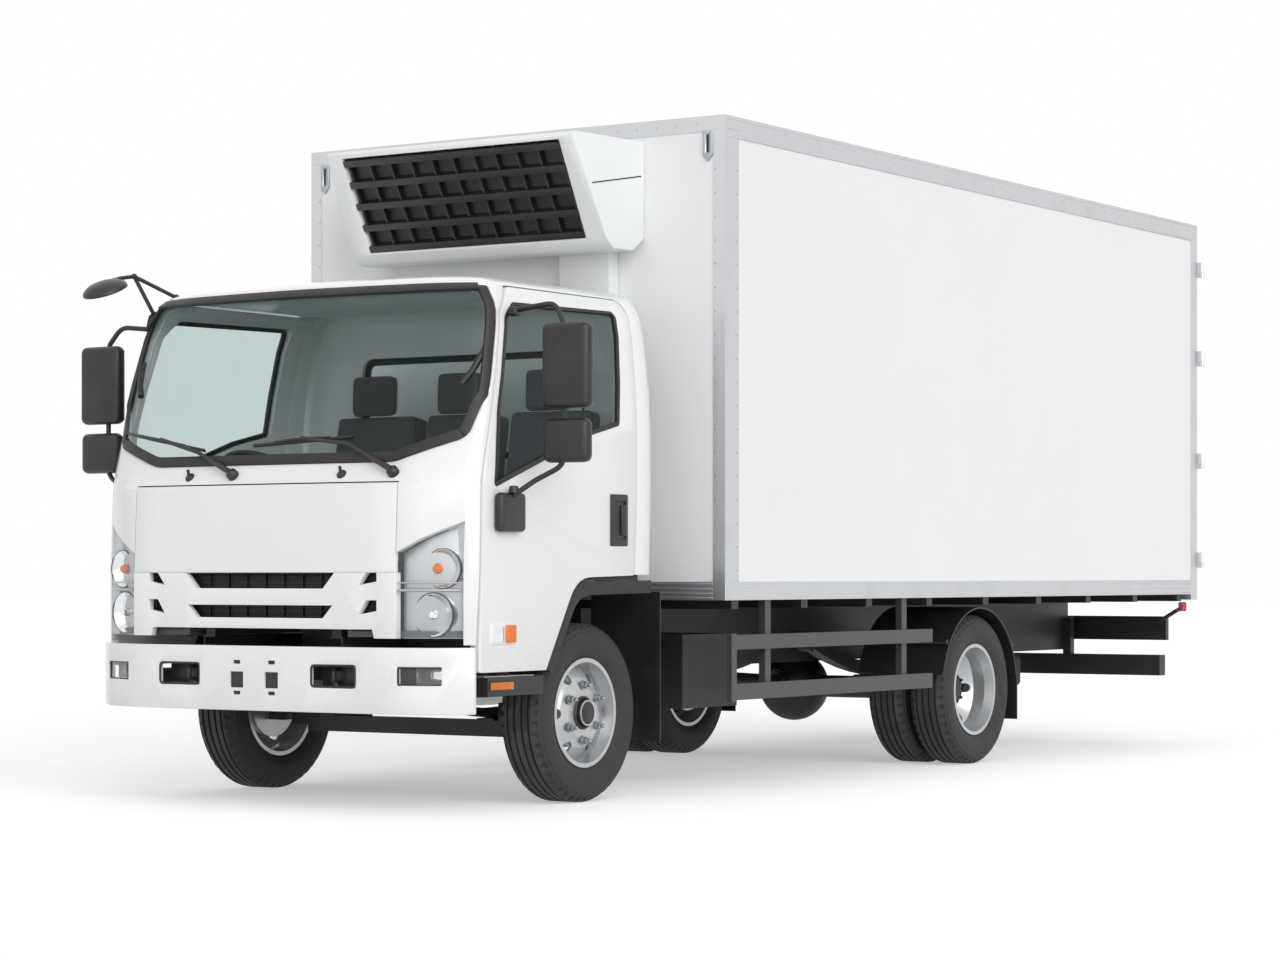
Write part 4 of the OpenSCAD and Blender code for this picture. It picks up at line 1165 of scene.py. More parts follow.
@dataclass
class Lamps(Assembly):
    """The two headlamps: lens, reflectors, bulbs and dividing bar."""

    low: tuple[float, float] = (0.828, 0.812)
    high: tuple[float, float] = (0.862, 1.000)
    bowl: float = 0.084
    set_back: float = 0.052

    def build(self) -> None:
        """Builds both headlamps."""
        self.skin = Skin(["headlamps"])
        lens = self._copy("headlamp_lenses", 0.0)
        self.dress(lens, Finish.CLEAR, "cab", "lamp_lens", ["headlamps"])
        back = self._copy("headlamp_housings", -self.set_back)
        self.dress(back, Finish.RIM, "cab", "aluminium")
        for hand, s in SIDES:
            self._bowl(f"main_reflector_{hand}", s, *self.low, self.bowl, Finish.CHROME)
            self._bowl(f"turn_reflector_{hand}", s, *self.high, self.bowl * 0.9, Finish.CHROME)
            self._bulb(f"main_bulb_{hand}", s, *self.low, 0.020, Finish.CHROME)
            self._bulb(f"turn_bulb_{hand}", s, self.high[0] - 0.02, self.high[1], 0.022, Finish.AMBER)
            self._bar(hand, s)

    @staticmethod
    def _copy(name: str, shift: float) -> bpy.types.Object:
        """Copies the lamps' frame node, moved along the truck."""
        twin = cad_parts["headlamps"].copy()
        twin.data = twin.data.copy()
        twin.parent = None
        twin.matrix_world = Matrix.Identity(4)
        for key in list(twin.keys()):
            del twin[key]
        twin.name = twin.data.name = name
        twin.hide_render = twin.hide_viewport = False
        bpy.context.collection.objects.link(twin)
        Bench.choose(twin)
        bpy.ops.object.mode_set(mode="EDIT")
        bpy.ops.mesh.select_all(action="SELECT")
        bpy.ops.mesh.remove_doubles(threshold=0.0002)
        bpy.ops.mesh.dissolve_limited(angle_limit=math.radians(0.2))
        bpy.ops.object.mode_set(mode="OBJECT")
        twin.data.transform(Matrix.Translation((shift, 0, 0)))
        if twin.data.has_custom_normals:
            bpy.ops.mesh.customdata_custom_splitnormals_clear()
        return Bench.soften(twin, 0.002, 2, 40)

    def _place(self, s: int, y: float, z: float) -> tuple[Vector, Vector]:
        """Returns a point behind the lens and the way it faces."""
        point, normal = self.skin.front(s * y, z)
        facing = Vector((1.0, normal.y * 0.35, 0.0)).normalized()
        return point, facing

    def _bowl(self, name: str, s: int, y: float, z: float, radius: float, finish: Finish) -> None:
        """Makes one open reflector with radial facets."""
        point, facing = self._place(s, y, z)
        centre = point - Vector((self.set_back, 0, 0)) - facing * 0.02
        rows = [(radius * t, 0.045 * t * t - 0.012) for t in (0.16, 0.35, 0.55, 0.75, 0.92, 1.0)]
        profile = [*rows, (radius * 1.05, 0.034), (radius * 1.03, -0.02), (radius * 0.2, -0.03)]
        self.dress(Bench.turned(name, profile, centre, facing, 40, 20), finish, "cab", "aluminium")
        lip = [(radius * a, b) for a, b in ((1.03, 0.037), (1.09, 0.035), (1.09, 0.024), (1.03, 0.024), (1.03, 0.037))]
        self.dress(Bench.turned(f"{name}_lip", lip, centre, facing, 40, 30), Finish.GUARD, "cab", "black_plastic")

    def _bulb(self, name: str, s: int, y: float, z: float, radius: float, finish: Finish) -> None:
        """Makes one bulb on its stem."""
        point, facing = self._place(s, y, z)
        centre = point - Vector((self.set_back, 0, 0)) - facing * 0.02
        profile = [(0.0, 0.052), (radius * 0.6, 0.048), (radius, 0.032), (radius * 0.85, 0.012), (radius * 0.5, -0.02), (0.0, -0.02)]
        self.dress(Bench.turned(name, profile, centre, facing, 24), finish, "cab", "lamp_lens")

    def _bar(self, hand: str, s: int) -> None:
        """Makes the bar between the upper and the lower lamp, and a thin rib above it."""
        line = []
        for k in range(9):
            y = s * (0.712 + 0.228 * k / 8)
            point, normal = self.skin.front(y, 0.912)
            line.append(point - normal * 0.002)
        bar = Bench.tube(f"headlamp_bar_{hand}", line, 0.006, 0.02)
        step = [p + Vector((0, 0, 0.030)) for p in line]
        rib = Bench.tube(f"headlamp_rib_{hand}", step, 0.0035, 0.02)
        self.dress(Bench.join(f"headlamp_bar_{hand}", [bar, rib]), Finish.BOLT, "cab", "aluminium")


@dataclass
class Bumper(Assembly):
    """Bumper with fog lamps, tow openings and the bare plate mount."""

    fog: tuple[float, float, float, float] = (0.725, 0.895, 0.527, 0.602)
    tow: tuple[float, float, float, float] = (0.300, 0.525, 0.515, 0.605)
    slot_y: float = 0.093
    holes: Sequence[tuple[float, float, float]] = ((0.5385, 0.036, 0.0335), (0.484, 0.020, 0.008), (0.612, 0.020, 0.008))
    pocket: float = 0.012

    def build(self) -> None:
        """Builds and dresses the bumper."""
        bumper = self.reshape("front_bumper", Finish.CAB, "chassis", "white_paint", 0.009, 40)
        skin = Skin(["front_bumper"])
        for hand, s in SIDES:
            y0, y1, z0, z1 = self.fog
            x = skin.front(s * (y1 + 0.012), (z0 + z1) / 2)[0].x
            box = Bench.slab(f"fog_lamp_box_{hand}", (x - 0.09, s * y0, z0), (x - 0.045, s * y1, z1), 0.008)
            self.dress(box, Finish.CHROME, "chassis", "aluminium")
            near = skin.front(s * (y0 - 0.01), (z0 + z1) / 2)[0].x
            face = [(near - 0.012, s * y0, z0), (x - 0.008, s * y1, z0), (x - 0.008, s * y1, z1), (near - 0.012, s * y0, z1)]
            lens = Bench.plate(f"fog_lamp_lens_{hand}", face, (-0.012, 0, 0), 0.004)
            self.dress(lens, Finish.CLEAR, "chassis", "lamp_lens")
            loop = [Vector(p) + Vector((0.006, 0, 0)) for p in face]
            rim = Bench.tube(f"fog_lamp_rim_{hand}", loop, 0.005, 0.012, 3, True)
            self.dress(rim, Finish.BLACK, "chassis", "black_plastic")
            y0, y1, z0, z1 = self.tow
            x = skin.front(s * (y0 - 0.01), (z0 + z1) / 2)[0].x
            # Painted shade: a chassis-black block that fills the opening behind the tow eye; the eye is a real part.
            pocket = Bench.slab(f"tow_eye_and_painted_shade_{hand}", (x - 0.11, s * (y0 + 0.001), z0 + 0.001), (x - 0.075, s * (y1 - 0.001), z1 - 0.001), 0.006)
            eye = Bench.tube(
                f"tow_eye_{hand}",
                [(x - 0.08, s * 0.38, z0 + 0.012), (x - 0.04, s * 0.39, z0 + 0.02), (x - 0.04, s * 0.39, z1 - 0.02), (x - 0.08, s * 0.38, z1 - 0.012)],
                0.010, 0.02,
            )
            self.dress(Bench.join(f"tow_eye_and_painted_shade_{hand}", [pocket, eye]), Finish.CHASSIS, "chassis", "black_chassis")
            loop = [(x - 0.004 - 0.006 * k, s * y, z) for k, y, z in ((0, y0, z0), (1, y1, z0), (1, y1, z1), (0, y0, z1))]
            rim = Bench.tube(f"tow_rim_{hand}", loop, 0.005, 0.02, 3, True)
            self.dress(rim, Finish.BLACK, "chassis", "black_plastic")
        self._plate_mount(skin, bumper)

    def _plate_mount(self, skin: Skin, bumper: bpy.types.Object) -> None:
        """Cuts the slots of the bare number-plate mount into the bumper and backs them with black slabs, which are
        painted shade at the bottom of each slot.
        """
        x = skin.front(0.0, 0.55)[0].x
        back, face = x - self.pocket, x - self.pocket + 0.004
        for i, (hand, hole) in enumerate((s, hole) for s in (-1, 1) for hole in self.holes):
            z, half, rise = hole
            y = hand * self.slot_y
            cutter = Bench.slab("hole", (back, y - half, z - rise), (x + 0.020, y + half, z + rise), 0.003)
            Bench.cut(bumper, cutter)
            # Painted shade: a black slab at the bottom of each slot.
            plate = Bench.slab(f"plate_hole_painted_shade_{i}", (back, y - half, z - rise), (face, y + half, z + rise), 0.001)
            self.dress(plate, Finish.BLACK, "chassis", "black_plastic")
        Bench.soften(bumper, 0, angle=25)


@dataclass
class Mirrors(Assembly):
    """Door mirrors on their arms, and the mirror over the nearside corner."""

    arm: Sequence[Point] = (
        (0.690, 1.040, 1.300), (0.650, 1.120, 1.360), (0.620, 1.240, 1.420), (0.620, 1.240, 2.000),
        (0.600, 1.180, 2.085), (0.585, 0.970, 2.065),
    )
    heads: Sequence[tuple[float, float, float, float]] = ((1.150, 1.380, 1.650, 2.000), (1.155, 1.375, 1.430, 1.610))

    def build(self) -> None:
        """Builds and dresses the mirrors."""
        for hand, s in SIDES:
            self._door_mirror(hand, s)
        self._corner_mirror()

    def _door_mirror(self, hand: str, s: int) -> None:
        """Makes one door's arm, brackets and two heads."""
        route = [at(x, s * y, z) for x, y, z in self.arm]
        bar = Bench.tube(f"mirror_arm_{hand}", route, 0.011, 0.07, 5)
        low = Bench.slab(f"mirror_foot_{hand}", at(0.600, s * 1.0005, 1.150), at(0.780, s * 1.045, 1.310), 0.026, 4)
        cap = Bench.turned(f"mirror_cap_{hand}", ((0.0, 0.03), (0.018, 0.026), (0.024, 0.0), (0.0, 0.0)), at(0.69, s * 1.04, 1.31), (0, 0, 1), 24)
        top = Bench.slab(f"mirror_top_{hand}", at(0.556, s * 0.9455, 2.040), at(0.606, s * 0.990, 2.080), 0.014, 3)
        pieces = [bar, low, cap, top]
        for i, (y0, y1, z0, z1) in enumerate(self.heads):
            shell = Bench.slab(f"mirror_head_{i}", at(0.596, s * y0, z0), at(0.664, s * y1, z1), 0.030, 5)
            clamp = Bench.slab(f"mirror_clamp_{i}", at(0.585, s * 1.215, (z0 + z1) / 2 - 0.02), at(0.64, s * 1.265, (z0 + z1) / 2 + 0.02), 0.008)
            pieces += [shell, clamp]
            glass = Bench.slab(f"mirror_glass_{hand}_{i}", at(0.5935, s * (y0 + 0.016), z0 + 0.016), at(0.6, s * (y1 - 0.016), z1 - 0.016), 0.003)
            self.dress(glass, Finish.CHROME, f"door_{hand}", "aluminium")
        unit = Bench.join(f"door_mirror_{hand}", pieces)
        self.dress(unit, Finish.BLACK, f"door_{hand}", "black_plastic", [f"mirror_{hand}"])

    def _corner_mirror(self) -> None:
        """Makes the round mirror that shows the ground ahead."""
        feet = ((0.580, -0.8745, 2.206), (0.665, -0.9284, 2.125))
        top = (0.760, -0.960, 2.290)
        end = (0.930, -0.950, 2.255)
        parts = []
        for i, foot in enumerate(feet):
            parts.append(Bench.tube(f"stay_{i}", [at(*foot), at(*top)], 0.009, 0.0, 4))
            pad = Bench.turned(f"pad_{i}", ((0.0, 0.016), (0.011, 0.011), (0.016, 0.0), (0.011, -0.011), (0.0, -0.016)), at(*foot), (0, 0, 1), 20)
            parts.append(pad)
        parts.append(Bench.tube("stay_arm", [at(*top), at(0.85, -0.957, 2.275), at(*end), at(0.945, -0.950, 2.225)], 0.009, 0.03, 4))
        knob = Bench.turned("stay_knob", ((0.0, 0.014), (0.010, 0.010), (0.014, 0.0), (0.010, -0.010), (0.0, -0.014)), at(*top), (0, 0, 1), 20)
        tilt = math.radians(25)
        axis = (math.sin(tilt), 0, math.cos(tilt))
        profile = ((0.0, 0.045), (0.03, 0.043), (0.07, 0.033), (0.093, 0.018), (0.100, 0.006), (0.100, 0.0), (0.094, -0.001), (0.0, 0.0))
        centre = at(0.955, -0.950, 2.210)
        head = Bench.turned("corner_mirror_head", profile, centre, axis, 40)
        unit = Bench.join("corner_mirror", [*parts, knob, head])
        self.dress(unit, Finish.BLACK, "cab", "black_plastic", ["under_view_mirror"])
        glass = Bench.turned(
            "corner_mirror_glass", ((0.0, -0.004), (0.06, -0.003), (0.09, -0.0005), (0.09, 0.003), (0.0, 0.003)), centre, axis, 40
        )
        self.dress(glass, Finish.CHROME, "cab", "aluminium")


@dataclass
class Seats(Assembly):
    """Three cloth seats: crowned cushions, backs and head rests with piping."""

    places: Sequence[tuple[str, float, float]] = (("driver", -0.480, 0.250), ("middle", 0.010, 0.220), ("side", 0.500, 0.240))
    cushion: tuple[float, float, float, float] = (-0.380, 0.120, 0.980, 1.140)
    back: tuple[float, float, float, float] = (-0.388, -0.262, 1.142, 1.705)
    rest: tuple[float, float, float, float] = (-0.384, -0.312, 1.707, 1.889)
    rest_width: float = 0.120
    crown: float = 0.16
    lean: float = 8.0

    def build(self) -> None:
        """Builds all seats."""
        for i, (name, y, half) in enumerate(self.places):
            self._pad(f"seat_cushion_{name}", self.cushion, y, half, 0.0, ["seats"] if i == 0 else ())
            self._pad(f"seat_back_{name}", self.back, y, half - 0.020, self.lean, ())
            self._pad(f"head_rest_{name}", self.rest, y, self.rest_width, 0.0, ())

    def _pad(
        self, name: str, span: tuple[float, float, float, float], y: float, half: float, lean: float, stands_for: Sequence[str]
    ) -> None:
        """Makes one stuffed pad with its piping.

        Args:
            name: The pad's name.
            span: Back, front, foot and top, from the front axle.
            y: The middle across the truck.
            half: Half the width.
            lean: How far it leans back.
            stands_for: The frame nodes that it replaces.
        """
        x0, x1, z0, z1 = span
        pad = Bench.slab(name, at(x0, y - half, z0), at(x1, y + half, z1), 0.028, 3)
        Bench.modify(pad, "SUBSURF", levels=2, render_levels=2)
        Bench.modify(pad, "CAST", factor=self.crown * 0.5, use_x=True, use_y=False, use_z=False, size=0.0)
        foot = at((x0 + x1) / 2, y, z0)
        if lean:
            Bench.turn(pad, -lean, (0, 1, 0), foot)
        tree = BVHTree.FromPolygons([v.co.copy() for v in pad.data.vertices], [list(f.vertices) for f in pad.data.polygons])
        loop = []
        level = z1 - 0.030 if lean == 0.0 and z1 - z0 < x1 - x0 else (z0 + z1) / 2
        if level > (z0 + z1) / 2:
            ring = Bench.rounded([at(x0, y - half, level), at(x1, y - half, level), at(x1, y + half, level), at(x0, y + half, level)], 0.04, True, 5)
        else:
            front = x1 - 0.026
            ring = Bench.rounded([at(front, y - half, z0), at(front, y + half, z0), at(front, y + half, z1), at(front, y - half, z1)], 0.04, True, 5)
            if lean:
                turn = Matrix.Translation(foot) @ Matrix.Rotation(math.radians(-lean), 4, (0, 1, 0)) @ Matrix.Translation(-Vector(foot))
                ring = [turn @ Vector(p) for p in ring]
        for point in ring:
            near = tree.find_nearest(Vector(point))[0]
            loop.append(near)
        self.dress(pad, Finish.CLOTH, "cab", "seat_cloth", stands_for)
        piping = Bench.tube(f"{name}_piping", loop, 0.0032, 0.0, 3, True)
        self.dress(piping, Finish.BLACK, "cab", "seat_cloth")


@dataclass
class Wheels(Assembly):
    """Tyres with grooves, painted rims, hubs and nuts."""

    width: float = 0.215
    rim: float = 0.235
    nuts: int = 6
    nut_ring: float = 0.1025
    grooves: Sequence[float] = (-0.052, -0.018, 0.018, 0.052)

    def build(self) -> None:
        """Builds and dresses all wheels."""
        for hand, s in SIDES:
            front = f"front_wheel_{hand}"
            self._tyre(f"tyre_front_{hand}", front, (f"front_tyre_{hand}", 0), (f"front_tyre_{hand}",))
            rear = f"rear_wheels_{hand}"
            self._tyre(f"tyre_rear_outer_{hand}", rear, (f"rear_tyres_{hand}", s), (f"rear_tyres_{hand}",))
            self._tyre(f"tyre_rear_inner_{hand}", rear, (f"rear_tyres_{hand}", -s), ())
            self.coat(Finish.RIM, f"front_rim_{hand}", f"rear_rims_{hand}")
            self._front_hub(hand, s)
            self._rear_hub(hand, s)

    def _profile(self) -> list[tuple[float, float]]:
        """Returns a tyre's section as radius and place across."""
        half, top = self.width / 2, TYRE_R
        rows = [
            (self.rim - 0.013, -0.070), (self.rim + 0.004, -0.083), (self.rim + 0.012, -0.089), (self.rim + 0.030, -0.1),
            (self.rim + 0.060, -half), (self.rim + 0.085, -half + 0.001), (top - 0.045, -half + 0.004),
            (top - 0.038, -half + 0.004), (top - 0.036, -half + 0.0075), (top - 0.018, -half + 0.014),
            (top - 0.008, -half + 0.024), (top - 0.001, -half + 0.038),
        ]
        crown = []
        for y in self.grooves:
            crown += [(top, y - 0.006), (top - 0.011, y - 0.0035), (top - 0.011, y + 0.0035), (top, y + 0.006)]
        return rows + crown + [(r, -y) for r, y in reversed(rows)] + [rows[0]]

    def _tyre(self, name: str, body: str, spot: tuple[str, int], stands_for: Sequence[str]) -> None:
        """Makes one tyre in the outer (1) or inner (-1) half of a node's box, or in its middle (0)."""
        low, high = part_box(spot[0])
        y = (low.y + high.y) / 2
        if spot[1]:
            y = high.y - self.width / 2 if spot[1] > 0 else low.y + self.width / 2
        centre = ((low.x + high.x) / 2, y, HUB_Z)
        tyre = Bench.turned(name, self._profile(), centre, (0, 1, 0), 96, 40)
        self._sipes(tyre, centre)
        tread = Tread(f"tyre rubber {'front' if spot[1] == 0 else 'rear'}", centre, TYRE_R)
        tyre.data.materials.clear()
        tyre.data.materials.append(bpy.data.materials.get(tread.name) or tread.build())
        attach(tyre, body)
        if stands_for:
            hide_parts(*stands_for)
        LOG.info("%s: %d faces on %s", name, len(tyre.data.polygons), body)

    def _sipes(self, tyre: bpy.types.Object, centre: Point) -> None:
        """Presses short cross slots into the shoulders of a tyre."""
        Bench.choose(tyre)
        bpy.ops.object.mode_set(mode="EDIT")
        bpy.ops.mesh.select_mode(type="FACE")
        bpy.ops.mesh.select_all(action="DESELECT")
        bpy.ops.object.mode_set(mode="OBJECT")
        for face in tyre.data.polygons:
            place = face.center - Vector(centre)
            reach = math.hypot(place.x, place.z)
            turn = round((math.degrees(math.atan2(place.z, place.x)) % 360) / 3.75 - 0.5)
            edge = self.width / 2 - 0.036 < abs(place.y) < self.width / 2 - 0.013
            face.select = edge and reach > TYRE_R - 0.016 and turn % 2 == 0
        bpy.ops.object.mode_set(mode="EDIT")
        bpy.ops.mesh.inset(thickness=0.002, depth=-0.005, use_individual=False)
        bpy.ops.object.mode_set(mode="OBJECT")

    def _nuts(self, name: str, centre: Point, s: int, ring: float, place: float) -> list[bpy.types.Object]:
        """Makes the ring of wheel nuts with their studs."""
        nuts = []
        for k in range(self.nuts):
            a = math.radians(30 + 60 * k)
            spot = (centre[0] + ring * math.cos(a), centre[1] + s * place, centre[2] + ring * math.sin(a))
            Bench.clear()
            bpy.ops.mesh.primitive_cylinder_add(vertices=6, radius=0.0165, depth=0.026, location=spot, rotation=(math.pi / 2, 0, 0))
            nut = Bench.soften(Bench.settle(f"{name}_{k}"), 0.003, 2)
            stud = Bench.turned(f"stud_{k}", ((0.0, 0.030), (0.006, 0.029), (0.009, 0.024), (0.009, 0.0), (0.0, 0.0)), spot, (0, s, 0), 12)
            flange = Bench.turned(f"washer_{k}", ((0.0, -0.006), (0.021, -0.007), (0.022, -0.012), (0.0, -0.0135)), spot, (0, s, 0), 18)
            nuts += [nut, stud, flange]
        return nuts

    def _front_hub(self, hand: str, s: int) -> None:
        """Makes a front wheel's hub, cap and nuts."""
        low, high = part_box(f"front_rim_{hand}")
        centre = (AXLE, (high.y if s > 0 else low.y) - s * 0.100, HUB_Z)
        hub = Bench.turned(
            f"hub_{hand}", ((0.0, 0.072), (0.028, 0.072), (0.034, 0.066), (0.036, 0.05), (0.050, 0.05), (0.056, 0.078),
                            (0.064, 0.084), (0.072, 0.078), (0.078, 0.030), (0.078, 0.02), (0.0, 0.02)),
            centre, (0, s, 0), 48,
        )
        cap = Bench.turned(
            f"hub_cap_{hand}", ((0.0, 0.1022), (0.046, 0.1022), (0.0572, 0.095), (0.0578, 0.073), (0.0, 0.073)),
            centre, (0, s, 0), 40,
        )
        hub = Bench.join(f"hub_{hand}", [hub, cap])
        self.dress(hub, Finish.BLACK, f"front_wheel_{hand}", "black_plastic")
        nuts = Bench.join(f"front_nuts_{hand}", self._nuts("nut", centre, s, 0.1195, 0.086))
        self.dress(nuts, Finish.BOLT, f"front_wheel_{hand}", "rim_silver")

    def _rear_hub(self, hand: str, s: int) -> None:
        """Makes a rear wheel's axle flange, cap and nuts."""
        low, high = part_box(f"rear_rims_{hand}")
        middle = (low.y + high.y) / 2
        centre = (REAR_AXLE, middle, HUB_Z)
        hub = Bench.turned(
            f"rear_hub_{hand}", ((0.0, 0.104), (0.052, 0.104), (0.060, 0.098), (0.074, 0.096), (0.078, 0.088), (0.078, 0.06), (0.0, 0.06)),
            centre, (0, s, 0), 48,
        )
        bolts = [
            Bench.turned(f"flange_bolt_{k}", ((0.0, 0.112), (0.007, 0.112), (0.008, 0.108), (0.008, 0.1), (0.0, 0.1)),
                         (REAR_AXLE + 0.064 * math.cos(k * math.pi / 4), middle, HUB_Z + 0.064 * math.sin(k * math.pi / 4)), (0, s, 0), 6)
            for k in range(8)
        ]
        self.dress(Bench.join(f"rear_hub_{hand}", [hub, *bolts]), Finish.CHASSIS, f"rear_wheels_{hand}", "black_chassis")
        nuts = Bench.join(f"rear_nuts_{hand}", self._nuts("nut", centre, s, 0.1195, 0.030))
        self.dress(nuts, Finish.BOLT, f"rear_wheels_{hand}", "rim_silver")


@dataclass
class BoxBody(Assembly):
    """Insulated body: panels, aluminium edges, rivets, caps and rear doors."""

    rivet: float = 0.0045
    pitch: float = 0.105
    corner: float = 0.118
    rail_top: float = 0.944
    proud: float = 0.0012

    def build(self) -> None:
        """Builds and dresses the body."""
        self.coat(Finish.BODY, "box_side_walls", "box_front_wall", "box_roof")
        self.coat(Finish.IRON, "box_floor")
        self.coat(Finish.EDGE, "box_edge_trims", "box_rear_frame")
        low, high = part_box("box_edge_trims")
        self.low, self.high = low, high
        for hand, s in SIDES:
            self._corner_post(hand, s)
            self._side_rail(hand, s)
            self._corner_cap(hand, s)
            self._rear_door(hand, s)
        self._rivets()
        self._front_rails()

    def _corner_post(self, hand: str, s: int) -> None:
        """Makes the rounded post on a front corner."""
        y, x = s * (self.high.y + self.proud), self.high.x + self.proud
        z0, z1 = self.rail_top + 0.001, self.high.z - 0.06
        outline = [
            (x - self.corner, y, z0), (x - self.corner, y - s * 0.004, z0), (x - 0.008, y - s * 0.008, z0),
            (x - 0.008, y - s * 0.066, z0), (x, y - s * 0.066, z0), (x, y - s * 0.0, z0),
        ]
        curve = Bench.rounded(outline, [0, 0, 0, 0, 0.002, 0.030], True, 8)
        post = Bench.plate(f"corner_post_{hand}", curve, (0, 0, z1 - z0), 0.0)
        self.dress(post, Finish.POST, "chassis", "aluminium")

    def _side_rail(self, hand: str, s: int) -> None:
        """Makes the ribs of the bottom and top rails of one side."""
        y = s * self.high.y
        ribs = []
        x0, x1 = self.low.x + 0.004, self.high.x - 0.035
        for z in (self.low.z + 0.004, self.low.z + 0.030, self.low.z + 0.056, self.rail_top - 0.010):
            ribs.append(Bench.slab("rib", (x0, y - s * 0.003, z), (x1, y + s * 0.0025, z + 0.009), 0.0015))
        for z in (self.high.z - 0.096, self.high.z - 0.016):
            ribs.append(Bench.slab("rib", (x0, y - s * 0.003, z), (x1, y + s * 0.0025, z + 0.009), 0.0015))
        self.dress(Bench.join(f"side_rail_ribs_{hand}", ribs), Finish.POST, "chassis", "aluminium")

    def _corner_cap(self, hand: str, s: int) -> None:
        """Makes the cap and the slotted lifting plate of a top corner; the plate is in front aluminium darkened with
        painted shade, and a black slab at the back of its slot is painted shade.
        """
        y, x, z = s * self.high.y, self.high.x, self.high.z
        cap = Bench.slab(f"corner_cap_{hand}", (x - 0.122, y - s * 0.07, z - 0.062), (x - 0.0005, y - s * 0.0005, z - 0.0005), 0.022, 5)
        self.dress(cap, Finish.EDGE, "chassis", "aluminium")
        y0, y1 = s * 1.062, s * 1.112
        x -= 0.003
        outline = [(x, y0, 2.955), (x, y1, 2.955), (x, y1, 2.845), (x, (y0 + y1) / 2, 2.815), (x, y0, 2.845)]
        plate = Bench.plate(f"lifting_plate_{hand}", outline, (0.010, 0, 0), 0.003)
        slot = Bench.slab("slot", (x - 0.01, y0 + s * 0.018, 2.855), (x + 0.02, y1 - s * 0.018, 2.935), 0.006)
        Bench.cut(plate, slot)
        # Painted shade: a black slab at the back of the slot.
        back = Bench.slab(f"lifting_slot_painted_shade_{hand}", (x - 0.002, y0 + s * 0.01, 2.85), (x + 0.0035, y1 - s * 0.01, 2.94), 0.001)
        self.dress(plate, Finish.WALL_EDGE, "chassis", "aluminium")
        self.dress(back, Finish.BLACK, "chassis", "black_plastic")

    def _dome(self, name: str, place: Point, out: Point) -> bpy.types.Object:
        """Makes one rivet head."""
        r = self.rivet
        return Bench.turned(name, ((0.0, r * 0.5), (r * 0.7, r * 0.35), (r, 0.0)), place, out, 8)

    def _rivets(self) -> None:
        """Copies rivets along every flange."""
        rows: dict[str, list[tuple[Point, Point]]] = {"side": [], "front": []}
        count = int((self.high.x - self.low.x - 0.2) / self.pitch)
        tall = int((self.high.z - self.rail_top - 0.16) / self.pitch)
        for s in (-1, 1):
            y = s * self.high.y
            for k in range(count):
                x = self.low.x + 0.05 + k * self.pitch
                rows["side"] += [((x, y, z), (0, s, 0)) for z in (self.rail_top - 0.024, self.high.z - 0.045)]
            for k in range(tall):
                z = self.rail_top + 0.05 + k * self.pitch
                rows["side"].append(((self.high.x - self.corner + 0.018, y + s * self.proud, z), (0, s, 0)))
                rows["front"].append(((self.high.x + self.proud, y - s * 0.052, z), (1, 0, 0)))
        for k in range(int(2 * (self.high.y - 0.1) / self.pitch) + 1):
            y = -self.high.y + 0.1 + k * self.pitch
            rows["front"] += [((self.high.x, y, z), (1, 0, 0)) for z in (self.high.z - 0.035, self.rail_top - 0.03)]
        for name, spots in rows.items():
            first = self._dome("rivet", (0, 0, 0), spots[0][1])
            heads = []
            for k, (place, out) in enumerate(spots):
                head = Bench.copy(first, f"rivet_{k}")
                if out != spots[0][1]:
                    head.data.transform(Matrix.Scale(-1, 4, (0, 1, 0)))
                    head.data.flip_normals()
                head.data.transform(Matrix.Translation(place))
                heads.append(head)
            bpy.data.objects.remove(first)
            if heads:
                self.dress(Bench.join(f"rivets_{name}", heads), Finish.BOLT, "chassis", "aluminium")

    def _front_rails(self) -> None:
        """Makes the ribbed rail along the foot of the front wall, in edge aluminium darkened with painted shade."""
        x = self.high.x
        ribs = [
            Bench.slab("rib", (x - 0.003, -1.11, z), (x + 0.0025, 1.11, z + 0.008), 0.0015)
            for z in (self.low.z + 0.006, self.low.z + 0.026, self.low.z + 0.046, self.low.z + 0.068)
        ]
        self.dress(Bench.join("front_rail_ribs", ribs), Finish.WALL_EDGE, "chassis", "aluminium")

    def _rear_door(self, hand: str, s: int) -> None:
        """Dresses one rear door and makes its gasket and lock gear."""
        node = f"rear_door_{hand}"
        self.coat(Finish.BODY, node)
        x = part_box("box_rear_frame")[0].x
        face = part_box("box_edge_trims")[0].x - 0.09
        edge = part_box("box_floor")[1].y - 0.004
        z0, z1 = 0.955, 2.920
        loop = [(face - 0.002, s * 0.012, z0 + 0.008), (face - 0.002, s * (edge - 0.008), z0 + 0.008),
                (face - 0.002, s * (edge - 0.008), z1 - 0.008), (face - 0.002, s * 0.012, z1 - 0.008)]
        gasket = Bench.tube(f"rear_door_gasket_{hand}", loop, 0.008, 0.01, 3, True)
        self.dress(gasket, Finish.RUBBER, node, "black_plastic")
        gear = []
        for y in (0.150, 0.620):
            gear.append(Bench.tube("rod", [(face - 0.016, s * y, z0 + 0.015), (face - 0.016, s * y, z1 - 0.015)], 0.0122, 0.0, 5))
            for z in (1.121, 1.761, 2.600):
                keeper = Bench.slab("keeper", (face - 0.021, s * (y - 0.027), z - 0.023), (face + 0.0, s * (y + 0.027), z + 0.023), 0.005)
                gear.append(keeper)
            for z in (z0 + 0.012, z1 - 0.012):
                gear.append(Bench.slab("cam", (face - 0.028, s * (y - 0.018), z - 0.016), (face - 0.004, s * (y + 0.018), z + 0.016), 0.005))
            gear.append(Bench.slab("lever", (face - 0.028, s * (y - 0.001), 1.500), (face - 0.0165, s * (y + 0.251), 1.530), 0.005))
        self.dress(Bench.join(f"rear_door_locks_{hand}", gear), Finish.BOLT, node, "aluminium")
        LOG.info("rear door face at %.3f, frame at %.3f", face, x)


